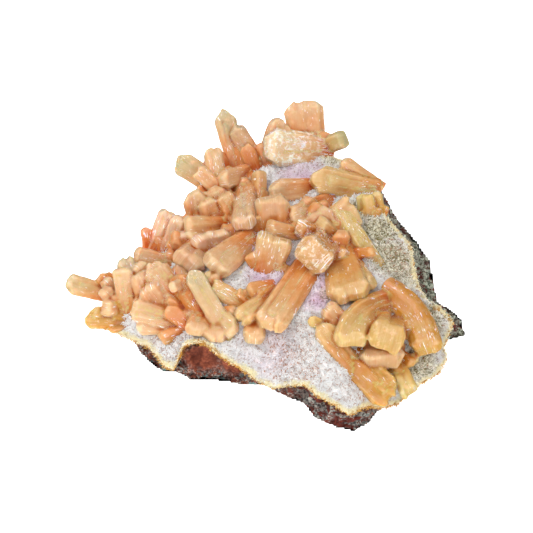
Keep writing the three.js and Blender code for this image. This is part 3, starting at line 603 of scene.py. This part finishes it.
def softened(rough, name):
    """A crystal mass with its edges a little rounded and its crystals run together where they meet."""
    made = shown(bpy.data.objects.new(name, rough.data.copy()))
    change(made, "REMESH", mode="VOXEL", voxel_size=CRYSTAL_VOXEL)
    change(made, "NODES", node_group=sampling_nodes(rough))
    made = evaluated(made)
    bpy.data.objects.remove(rough)
    shade_smooth(made)
    points = smoothed(made, points_of(made), SOFT_ROUNDS)
    move_to(made, points)
    moves = smoothed(made, points, DENT_ROUNDS) - points
    # How far each point is dented in: the material turns this into painted shade in crevices and paler edges.
    set_attribute(made.data, "dent", (moves * normals_of(made)).sum(1) / MM)
    return made


def grow_cluster(name, rows, first_number):
    """All crystals of a cluster fused in one closed piece, which stands for its solid."""
    objects = crystal_objects(rows, first_number)
    made = softened(joined(shown(objects[0]), objects[1:]), f"{name}_crystals")
    keep_in_box(made)
    made.data.materials.clear()
    made.data.materials.append(STILBITE)
    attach(made, "root")
    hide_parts(f"stilbite_{name}")
    return made


def points_of(made):
    return read(made.data.vertices, "co")


def normals_of(made):
    return read(made.data.vertex_normals, "vector")


def move_to(made, points):
    made.data.vertices.foreach_set("co", points.ravel())
    made.data.update()


def keep_in_box(made):
    """Nothing stands out of the solids' own box."""
    move_to(made, np.clip(points_of(made), *(np.array(corner) for corner in CAD_BOX)))


# Materials: short helpers, then one function for each.
def node(tree, kind, inputs=(), **settings):
    made = tree.nodes.new(kind)
    for key, value in settings.items():
        setattr(made, key, value)
    for key, value in dict(inputs).items():
        if isinstance(value, bpy.types.NodeSocket):
            tree.links.new(value, made.inputs[key])
        else:
            made.inputs[key].default_value = value
    return made


def calc(tree, operation, a, b=0.0, clamp=False):
    return node(tree, "ShaderNodeMath", {0: a, 1: b}, operation=operation, use_clamp=clamp).outputs[0]


def times(tree, a, b, clamp=False):
    return calc(tree, "MULTIPLY", a, b, clamp)


def mix(tree, factor, a, b, blend="MIX"):
    inputs = {0: factor, 6: a, 7: b}
    return node(tree, "ShaderNodeMix", inputs, data_type="RGBA", blend_type=blend).outputs[2]


def ramp(tree, value, low, high):
    """0 up to low, 1 from high on, and smooth between them."""
    inputs = {"Value": value, "From Min": low, "From Max": high}
    return node(tree, "ShaderNodeMapRange", inputs, interpolation_type="SMOOTHSTEP").outputs[0]


def cloud(tree, vector, scale, detail=2.0, roughness=0.5):
    inputs = {"Vector": vector, "Scale": scale, "Detail": detail, "Roughness": roughness}
    return node(tree, "ShaderNodeTexNoise", inputs).outputs[0]


def stretched(tree, vector, scale):
    inputs = {0: vector, 1: scale}
    return node(tree, "ShaderNodeVectorMath", inputs, operation="MULTIPLY").outputs[0]


def attribute(tree, name):
    return node(tree, "ShaderNodeAttribute", attribute_name=name)


def new_material(name, surface):
    """A material whose shader has the values that the surface states."""
    made = bpy.data.materials.new(name)
    made.use_nodes = True
    shader = made.node_tree.nodes["Principled BSDF"]
    for key, value in surface.items():
        shader.inputs[key].default_value = value
    return made, made.node_tree, shader


def bump(tree, height, strength, distance, under=None):
    inputs = {"Height": height, "Strength": strength, "Distance": distance}
    if under is not None:
        inputs["Normal"] = under
    return node(tree, "ShaderNodeBump", inputs).outputs[0]


def rgb(red, green, blue):
    """A colour as it looks on a screen, none of it under 11, as the light that Blender counts in."""
    return (*(((c / 255 + 0.055) / 1.055) ** 2.4 for c in (red, green, blue)), 1)


def stilbite_reads(tree):
    """What the stilbite's material knows of a place: its crystal's looks, and clouds of some sizes."""
    looks = attribute(tree, "looks")
    along, yellow, pale = parted(tree, looks.outputs["Color"])
    gloss = looks.outputs["Alpha"]
    place = place_of(tree)
    mottle = cloud(tree, place, 260, 3, 0.6)
    depth = calc(tree, "ADD", along, times(tree, calc(tree, "SUBTRACT", mottle, 0.5), 0.7))
    # How frosty the most glossy crystals are: it sets a real speckled bump and also their painted sparkle.
    frost_and_sparkle = times(tree, calc(tree, "SUBTRACT", gloss, 1.1), 1.2, True)
    veil = cloud(tree, place, 620, 4, 0.65)
    strand = attribute(tree, "strand").outputs["Vector"]
    green, dent = (attribute(tree, name).outputs["Fac"] for name in ("green", "dent"))
    return SimpleNamespace(
        yellow=yellow, pale=pale, gloss=gloss, place=place, mottle=mottle, depth=depth,
        frost_and_sparkle=frost_and_sparkle, veil=veil, strand=strand, green=green, dent=dent,
    )


def place_of(tree):
    return node(tree, "ShaderNodeTexCoord").outputs["Object"]


def parted(tree, colour):
    return node(tree, "ShaderNodeSeparateColor", {0: colour}).outputs


def multiplied(tree, factor, colour, by):
    return mix(tree, factor, colour, mix(tree, 1, colour, by, "MULTIPLY"))


def stilbite_tones(tree, seen):
    """Deep orange at a crystal's root, partly its own colour and partly painted shade, to light at its tip,
    made pale, yellow, pink, grey-green or milky.
    """
    depth = seen.depth
    # The deep orange low down on a crystal is partly its own colour and partly painted shade among the
    # crystals.
    colour = mix(tree, ramp(tree, depth, 0.05, 0.5), rgb(200, 98, 18), rgb(210, 134, 58))
    colour = mix(tree, ramp(tree, depth, 0.45, 1.05), colour, rgb(212, 168, 116))
    pallor = times(tree, seen.pale, ramp(tree, depth, 0.1, 0.8))
    colour = mix(tree, times(tree, pallor, 0.8, True), colour, rgb(238, 214, 178))
    colour = multiplied(tree, times(tree, seen.yellow, 0.8, True), colour, (0.88, 1, 0.42, 1))
    colour = multiplied(tree, times(tree, seen.yellow, -0.8, True), colour, (1, 0.87, 0.98, 1))
    colour = mix(tree, times(tree, seen.green, 0.75, True), colour, rgb(170, 168, 128))
    milk = times(tree, ramp(tree, seen.veil, 0.5, 0.72), ramp(tree, depth, 0, 1.6))
    return mix(tree, milk, colour, rgb(238, 206, 164))


def stilbite_marks(tree, seen, colour):
    """Streaks and furrows along the fibres, edges that are partly wear and partly a painted highlight,
    painted shade in the crevices, and painted glints and sparkle where it is glossy.
    """
    fibre = cloud(tree, stretched(tree, seen.strand, (3.4, 0.16, 1)), 1, 3, 0.6)
    streak = times(tree, ramp(tree, fibre, 0.54, 0.76), 0.2)
    colour = mix(tree, streak, colour, rgb(246, 222, 190))
    furrow = times(tree, ramp(tree, fibre, 0.46, 0.3), 0.28)
    colour = multiplied(tree, furrow, colour, rgb(232, 176, 128))
    # Paler along the convex edges: partly wear, and partly a painted highlight on them.
    wear_and_edge_glint = times(tree, ramp(tree, seen.dent, -0.05, -0.3), ramp(tree, seen.veil, 0.3, 0.6))
    colour = mix(tree, times(tree, wear_and_edge_glint, 0.12), colour, rgb(250, 236, 212))
    # Painted shade: deeper orange where the surface is dented in, in the crevices where the crystals meet.
    colour = multiplied(tree, ramp(tree, seen.dent, 0, 0.35), colour, rgb(228, 168, 104))
    # Painted highlight: white glints in streaks along the fibres, more of them where a crystal is glossy.
    painted_glint = cloud(tree, stretched(tree, seen.strand, (2.8, 0.5, 1)), 1, 3, 0.6)
    painted_glint = ramp(tree, calc(tree, "ADD", painted_glint, times(tree, seen.gloss, 0.05)), 0.63, 0.67)
    painted_glint = times(tree, painted_glint, ramp(tree, cloud(tree, seen.place, 240), 0.45, 0.55))
    colour = mix(tree, painted_glint, colour, rgb(255, 252, 248))
    # Painted highlight: white sparkle in patches on the frostiest glossy faces, away from the roots.
    painted_sparkle = times(tree, seen.frost_and_sparkle, ramp(tree, cloud(tree, seen.place, 900, 3, 0.7), 0.5, 0.6))
    painted_sparkle = times(tree, painted_sparkle, ramp(tree, seen.depth, 0.25, 0.75))
    return mix(tree, times(tree, painted_sparkle, 0.85), colour, rgb(254, 249, 238))


def stilbite_material():
    """Waxy and translucent, with a clear glaze whose ridges follow the fibres."""
    made, tree, shader = new_material("stilbite", {
        "Subsurface Weight": 1,
        "Subsurface Radius": (1.0, 0.6, 0.35),
        "Subsurface Scale": 3 * MM,
        "Specular IOR Level": 0.25,
        "Coat Weight": 1,
        "Coat Roughness": 0.27,
    })
    seen = stilbite_reads(tree)
    colour = stilbite_marks(tree, seen, stilbite_tones(tree, seen))
    tree.links.new(colour, shader.inputs["Base Color"])
    sheer = times(tree, seen.gloss, -0.16)
    grainy = times(tree, calc(tree, "SUBTRACT", seen.mottle, 0.5), 0.35)
    rough = calc(tree, "ADD", calc(tree, "ADD", 0.38, sheer), grainy, True)
    tree.links.new(calc(tree, "MAXIMUM", rough, 0.12), shader.inputs["Roughness"])
    fine = cloud(tree, stretched(tree, seen.strand, (5, 0.25, 1)), 1, 2, 0.6)
    speckle = times(tree, cloud(tree, seen.place, 1500, 2, 0.6), seen.frost_and_sparkle)
    normal = bump(tree, speckle, 0.8, 0.5 * MM, bump(tree, fine, 0.7, 0.16 * MM))
    ridges = cloud(tree, stretched(tree, seen.strand, (1.8, 0.45, 1)), 1, 3, 0.55)
    tree.links.new(bump(tree, ridges, 1, 0.4 * MM), shader.inputs["Coat Normal"])
    tree.links.new(normal, shader.inputs["Normal"])
    return made


def druse_material():
    """White grains, lilac, olive and rusty where they are stained, with an ochre edge that frays."""
    made, tree, shader = new_material("druse", {
        "Subsurface Weight": 0.5,
        "Subsurface Radius": (1.0, 0.9, 0.8),
        "Subsurface Scale": 0.5 * MM,
        "Roughness": 0.45,
    })
    stain = attribute(tree, "stain")
    pink, olive, rust = parted(tree, stain.outputs["Color"])
    wash = stain.outputs["Alpha"]
    rim = attribute(tree, "rim").outputs["Fac"]
    shade = attribute(tree, "shade").outputs["Fac"]
    place = place_of(tree)
    mottle = cloud(tree, place, 700, 3, 0.65)
    broad = cloud(tree, place, 120, 3, 0.6)
    # From pinkish grey to white by shade: the grains' own tones differ at random, and the ground between them
    # is greyer as painted shade.
    colour = mix(tree, shade, rgb(186, 160, 150), rgb(255, 255, 254))
    lilac = times(tree, pink, ramp(tree, broad, 0.3, 0.62), True)
    colour = multiplied(tree, lilac, colour, rgb(238, 208, 232))
    colour = multiplied(tree, times(tree, wash, 0.9), colour, (0.98, 0.93, 0.72, 1))
    dull = times(tree, olive, ramp(tree, mottle, 0.32, 0.55), True)
    colour = mix(tree, dull, colour, rgb(124, 112, 54))
    colour = mix(tree, rust, colour, rgb(176, 112, 66))
    fray = calc(tree, "ADD", rim, times(tree, calc(tree, "SUBTRACT", mottle, 0.5), 1.8))
    fray = calc(tree, "ADD", fray, times(tree, calc(tree, "SUBTRACT", broad, 0.5), 2.2))
    colour = mix(tree, ramp(tree, fray, 0.9, 0), colour, rgb(248, 236, 192))
    colour = mix(tree, ramp(tree, fray, -0.1, -0.6), colour, rgb(208, 150, 58))
    colour = mix(tree, ramp(tree, fray, -1.1, -1.7), colour, rgb(140, 84, 44))
    tree.links.new(colour, shader.inputs["Base Color"])
    return made


def basalt_material():
    """Broken rock, brown and grey in specks: red-brown, banded or dark green-grey in its zones."""
    made, tree, shader = new_material("basalt", {"Roughness": 0.7, "Specular IOR Level": 0.2})
    smooth, banded, dark = parted(tree, attribute(tree, "zones").outputs["Color"])
    place = place_of(tree)
    coarse = cloud(tree, place, 210, 4, 0.65)
    medium = cloud(tree, place, 520, 4, 0.65)
    fine = cloud(tree, place, 1600, 3, 0.7)
    specks = cloud(tree, place, 1000, 4, 0.75)
    brown = mix(tree, ramp(tree, fine, 0.42, 0.58), rgb(88, 44, 34), rgb(150, 86, 64))
    grey = mix(tree, ramp(tree, fine, 0.42, 0.58), rgb(84, 80, 78), rgb(182, 180, 170))
    colour = mix(tree, ramp(tree, specks, 0.48, 0.54), brown, grey)
    teal = times(tree, ramp(tree, coarse, 0.52, 0.58), ramp(tree, specks, 0.42, 0.5))
    colour = mix(tree, times(tree, teal, 0.8), colour, rgb(112, 152, 150))
    layers = cloud(tree, stretched(tree, place, (130, 420, 900)), 1, 3, 0.6)
    bands = mix(tree, ramp(tree, layers, 0.46, 0.54), rgb(118, 54, 42), grey)
    colour = mix(tree, banded, colour, bands)
    deep = mix(tree, ramp(tree, specks, 0.45, 0.53), rgb(112, 120, 102), rgb(222, 228, 206))
    deep = mix(tree, ramp(tree, medium, 0.52, 0.58), deep, rgb(122, 68, 58))
    colour = mix(tree, dark, colour, deep)
    rust = mix(tree, ramp(tree, fine, 0.35, 0.65), rgb(114, 54, 36), rgb(150, 78, 52))
    colour = mix(tree, smooth, colour, rust)
    # Painted shade darkens the rock in its pits, and painted light brightens it between them.
    pit = attribute(tree, "pit").outputs["Fac"]
    colour = multiplied(tree, ramp(tree, pit, 0.35, 0.95), colour, rgb(196, 186, 186))
    colour = multiplied(tree, ramp(tree, pit, 0.3, 0.05), colour, (1.7, 1.7, 1.65, 1))
    tree.links.new(colour, shader.inputs["Base Color"])
    grit = times(tree, fine, calc(tree, "SUBTRACT", 1.15, smooth))
    tree.links.new(bump(tree, grit, 0.6, 0.5 * MM), shader.inputs["Normal"])
    return made


STILBITE = stilbite_material()
DRUSE = druse_material()
BASALT = basalt_material()

# Patches of stain, each by where it is sighted, its radius in mm and its strength.
PINK_PATCHES = [
    (-1, 4, 6, 1), (-4, 18, 7, 1), (12, -6, 7, 0.9),
    (2, -2, 8, 0.9), (9, 23, 8, 0.8), (0, -20, 9, 0.3),
]
OLIVE_PATCHES = [
    (28, 9, 6, 1), (31, 2, 7, 0.9), (35, -2, 6, 0.7), (40, -14, 6, 0.9),
    (38, -24, 6, 0.8), (15, -7, 2.5, 0.7), (17, 27, 4, 0.7), (24, 14, 5, 1),
]
RUST_PATCHES = [(-24, -20, 8, 0.5), (8, -24, 9, 1), (4, -20, 6, 0.8), (36, 2, 8, 1), (24, -30, 7, 0.6)]
SMOOTH_PATCHES = [(-16, -22, 7, 1), (-9, -26, 6, 1), (-20, -21, 4, 1)]
BANDED_PATCHES = [(12, -34, 9, 1), (20, -38, 9, 1), (5, -31, 5, 0.6)]
DARK_PATCHES = [(38, 8, 12, 1), (45, -2, 14, 1), (48, -14, 12, 1), (30, 16, 8, 1)]


def patches(points, rows, height=None):
    """How strongly the patches cover each point: 1 in a patch, falling to 0 at its radius."""
    cover = np.zeros(len(points))
    for right, up, radius, strength in rows:
        if height is None:
            spot = over_crust(right * MM, up * MM, 0)
        else:
            spot = sighted(right * MM, up * MM, height)
        away = np.linalg.norm(points - spot, axis=1) / (radius * MM)
        cover = np.maximum(cover, strength * np.clip(2 - 2 * away, 0, 1))
    return cover


def copy_of(node_name, name):
    return shown(bpy.data.objects.new(name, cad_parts[node_name].data.copy()))


def finished(made, material, node_name):
    made.data.materials.clear()
    made.data.materials.append(material)
    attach(made, "root")
    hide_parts(node_name)
    return made


def rim_line():
    """The druse's rim, as the points of its solid's outermost loop seen from above, at its upper edge."""
    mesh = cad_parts["druse_crust"].data
    points = np.array([v.co for v in mesh.vertices])
    angle = np.arctan2(points[:, 1] - PLATE_CENTRE[1], points[:, 0] - PLATE_CENTRE[0]).round(2)
    reach = np.linalg.norm(points[:, :2] - PLATE_CENTRE, axis=1)
    line = []
    for way in np.unique(angle):
        here = angle == way
        outer = here & (reach > reach[here].max() - RIM_SLACK)
        line.append(points[outer][points[outer][:, 2].argmax()])
    loop = np.array([*line, line[0]])
    return np.concatenate([np.linspace(a, b, 12, endpoint=False) for a, b in zip(loop, loop[1:])])


def rim_distance(points):
    """How far in mm each point is inside the rim, as seen from above, or with a minus how far below it."""
    away = np.full(len(points), np.inf)
    height = np.zeros(len(points))
    for spot in rim_line():
        distance = np.hypot(points[:, 0] - spot[0], points[:, 1] - spot[1])
        height = np.where(distance < away, spot[2], height)
        away = np.minimum(away, distance)
    below = height - points[:, 2]
    return np.where((away < RIM_SLACK) & (below > 0), -below, away) / MM


# The waves of a surface: their length, their seed and how strong they are.
ROCK_CHIPS = ((6 * MM, 21, 0.5), (2.4 * MM, 22, 0.4))
ROCK_PITS = (1.2 * MM, 23, 0.4)
DRUSE_SWELLS = ((2.6 * MM, 31, 0.2), (1.1 * MM, 32, 0.14))


def dress_basalt():
    """The rock with chips and pits, rougher in its dark zone and hardly any in its smooth one."""
    made = copy_of("basalt_matrix", "basalt_rock")
    change(made, "REMESH", mode="VOXEL", voxel_size=ROCK_VOXEL)
    made = evaluated(made)
    points, normals = points_of(made), normals_of(made)
    smooth = patches(points, SMOOTH_PATCHES, ZONE_HEIGHT)
    side = np.clip(points[:, 2] / FOOT_HEIGHT, 0, 1)
    dark = patches(points, DARK_PATCHES, ZONE_HEIGHT)
    chips = sum(np.abs(waves(points, size, seed)) * depth for size, seed, depth in ROCK_CHIPS)
    size, seed, depth = ROCK_PITS
    pits = np.abs(waves(points, size, seed)) * depth
    relief = chips * (1 + 0.6 * dark) + pits
    shift = normals * (relief * (1 - 0.6 * smooth) * ROCK_RELIEF)[:, None]
    shift[:, 2] *= side
    move_to(made, points - shift)
    points = points_of(made)
    banded = patches(points, BANDED_PATCHES, BAND_HEIGHT)
    # How deep each point is chipped in, which the rock's material turns into painted shade and light.
    set_attribute(made.data, "pit", relief)
    set_attribute(made.data, "zones", np.stack((smooth, banded, dark, np.ones(len(points))), 1))
    keep_in_box(made)
    shade_smooth(made, 60)
    return finished(made, BASALT, "basalt_matrix")


def dress_druse():
    """The druse's ground between its grains, a little lumpy on top."""
    made = copy_of("druse_crust", "druse_ground")
    change(made, "SUBSURF", subdivision_type="SIMPLE", levels=3)
    made = evaluated(made)
    points, normals = points_of(made), normals_of(made)
    top = np.clip(normals[:, 2] * 2, 0, 1)
    swell = sum(height * waves(points, size, seed) for size, seed, height in DRUSE_SWELLS)
    move_to(made, points + normals * (top * swell * MM)[:, None])
    points = points_of(made)
    # The ground is a little greyer than the white grains, as painted shade between them.
    set_stains(made, points, rim_distance(points), np.full(len(points), GROUND_SHADE), rusty=False)
    keep_in_box(made)
    shade_smooth(made, 80)
    return finished(made, DRUSE, "druse_crust")


OLIVE_SHARE = 0.4  # of the grains in a patch
RUST_SHARE = 0.12
STRAY_RUST = 0.012  # of the grains anywhere
STAIN_SEED = 71


def set_stains(made, points, rim, shade, rusty, group=1):
    """Stains for each point, or for each group of points that are one grain, in specks where it is rusty."""
    spots = points[::group]
    pink = patches(spots, PINK_PATCHES)
    olive = patches(spots, OLIVE_PATCHES)
    rust = patches(spots, RUST_PATCHES)
    draw = np.random.default_rng(STAIN_SEED)
    wash = olive
    if rusty:
        olive = draw.random(len(spots)) < OLIVE_SHARE * olive
        rust = (draw.random(len(spots)) < RUST_SHARE * rust + STRAY_RUST) * 0.85
    else:
        olive = 0.7 * olive
        rust = 0.15 * rust
    stain = np.stack((pink, olive, rust, wash), 1)
    set_attribute(made.data, "stain", np.repeat(stain, group, axis=0))
    set_attribute(made.data, "rim", rim)
    set_attribute(made.data, "shade", shade)


# A grain is a lozenge: two ends and four shoulders.
GRAIN_FACES = np.array((
    (0, 2, 3), (0, 3, 4), (0, 4, 5), (0, 5, 2),
    (1, 3, 2), (1, 4, 3), (1, 5, 4), (1, 2, 5),
))
GRAIN_CORNERS = 6
GRAIN_LENGTHS = np.array((0.6, 1.5)) * MM
GRAIN_HALVES = np.array((0.1, 0.18)) * MM
GRAIN_LEANS = (5, 60)
GRAIN_LIFT = 0.1 * MM
WHITE_GRAINS = 0.7  # the share of them that is plain white
GRAIN_SPREAD = 0.12  # mm from the middle of a face
GRAIN_SEEDS = (61, 62)  # at the front and at the back
SCATTER_SEED = 51


def grains(name, spots, normals, number):
    """Lozenge-shaped grains lying and leaning on the druse at the given spots."""
    draw = np.random.default_rng(number)
    count = len(spots)
    flat = unit(np.cross(normals, unit(draw.normal(size=(count, 3)))))
    lean = np.radians(draw.uniform(*GRAIN_LEANS, count))[:, None]
    axis = flat * np.cos(lean) + normals * np.sin(lean)
    side = unit(np.cross(axis, normals + 0.01 * flat))
    other = np.cross(axis, side)
    length = draw.uniform(*GRAIN_LENGTHS, count)[:, None]
    half = draw.uniform(*GRAIN_HALVES, count)[:, None]
    centre = spots + normals * GRAIN_LIFT
    ends = (axis * length * 0.6, -axis * length * 0.4)
    shoulders = (side * half, other * half, -side * half, -other * half)
    points = np.stack([centre + corner for corner in (*ends, *shoulders)], 1).reshape(-1, 3)
    faces = (GRAIN_FACES[None] + GRAIN_CORNERS * np.arange(count)[:, None, None]).reshape(-1, 3)
    made = shown(mesh_object(name, points, faces.tolist()))
    shade = np.where(draw.random(count) < WHITE_GRAINS, 1, draw.uniform(0, 0.8, count))
    rim = np.repeat(rim_distance(spots), GRAIN_CORNERS)
    set_stains(made, points, rim, np.repeat(shade, GRAIN_CORNERS), rusty=True, group=GRAIN_CORNERS)
    keep_in_box(made)
    made.data.materials.append(DRUSE)
    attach(made, "root")
    return made


def scatter_grains(ground, clusters, count):
    """Grains over all of the druse's top and edge that no crystal covers."""
    faces = ground.data.polygons
    centres, normals = read(faces, "center"), read(faces, "normal")
    areas = np.where(normals[:, 2] > -0.2, read(faces, "area", 1), 0)
    draw = np.random.default_rng(SCATTER_SEED)
    chosen = draw.choice(len(areas), size=count, p=areas / areas.sum())
    spots = centres[chosen] + draw.normal(size=(count, 3)) * GRAIN_SPREAD * MM
    normals = normals[chosen]
    trees = [tree_of(made) for made in clusters]
    free = np.ones(count, bool)
    up = Vector((0, 0, 1))
    for k, spot in enumerate(spots):
        start = Vector(spot) + 0.3 * MM * up
        for tree in trees:
            hit, normal, _, _ = tree.ray_cast(start, up)
            if hit and normal.z > 0:
                free[k] = False
                break
    spots, normals = spots[free], unit(normals[free])
    front = spots[:, 1] < np.median(spots[:, 1])
    return [
        grains("druse_grains_front", spots[front], normals[front], GRAIN_SEEDS[0]),
        grains("druse_grains_back", spots[~front], normals[~front], GRAIN_SEEDS[1]),
    ]


GRAIN_COUNT = 58000  # before those under crystals are left out
clusters = []
number = 1
for name, rows in CLUSTERS.items():
    clusters.append(grow_cluster(name, rows, number))
    number += len(rows)
dress_basalt()
ground = dress_druse()
scatter_grains(ground, clusters, GRAIN_COUNT)


def floor():
    mesh = bpy.data.meshes.new("floor")
    half, depth = 1.5, -0.05 * MM
    corners = [(-half, -half, depth), (half, -half, depth), (half, half, depth), (-half, half, depth)]
    mesh.from_pydata(corners, [], [(0, 1, 2, 3)])
    made = shown(bpy.data.objects.new("floor", mesh))
    paper = {
        "Base Color": (0.9, 0.9, 0.9, 1),
        "Roughness": 0.9,
        "Emission Color": (1, 1, 1, 1),
        "Emission Strength": 1,
    }
    mesh.materials.append(new_material("paper", paper)[0])
    made.visible_glossy = False


LAMP_AIM = Vector((0, 0, 0.01))
# Each lamp's place, width and power.
LAMPS = {
    "ceiling": ((0, 0, 0.8), 1.2, 2.2),
    "key": ((-0.32, 0.12, 0.5), 0.16, 1.2),
    "left": ((-0.28, -0.22, 0.55), 0.09, 1),
    "right": ((0.36, 0.02, 0.45), 0.09, 0.55),
    "front": ((0.06, -0.6, 0.3), 0.2, 1.4),
}


def lamp(name, place, size, power):
    light = bpy.data.lights.new(name, "AREA")
    light.shape = "DISK"
    light.size = size
    light.energy = power
    made = shown(bpy.data.objects.new(name, light))
    made.location = place
    made.rotation_euler = (LAMP_AIM - Vector(place)).to_track_quat("-Z", "Y").to_euler()


def light_and_camera():
    world = bpy.data.worlds.new("studio")
    world.use_nodes = True
    world.node_tree.nodes["Background"].inputs["Color"].default_value = (1, 1, 1, 1)
    world.node_tree.nodes["Background"].inputs["Strength"].default_value = 0.2
    bpy.context.scene.world = world
    for name, (place, size, power) in LAMPS.items():
        lamp(name, place, size, power)
    camera = bpy.data.cameras.new("camera")
    camera.sensor_width = 36
    camera.lens = camera.sensor_width * EYE_DISTANCE / VIEW_WIDTH
    made = shown(bpy.data.objects.new("camera", camera))
    made.location = EYE
    made.rotation_euler = Vector(-VIEW_BACK).to_track_quat("-Z", "Y").to_euler()
    bpy.context.scene.camera = made
    bpy.context.scene.view_settings.view_transform = "Standard"


floor()
light_and_camera()
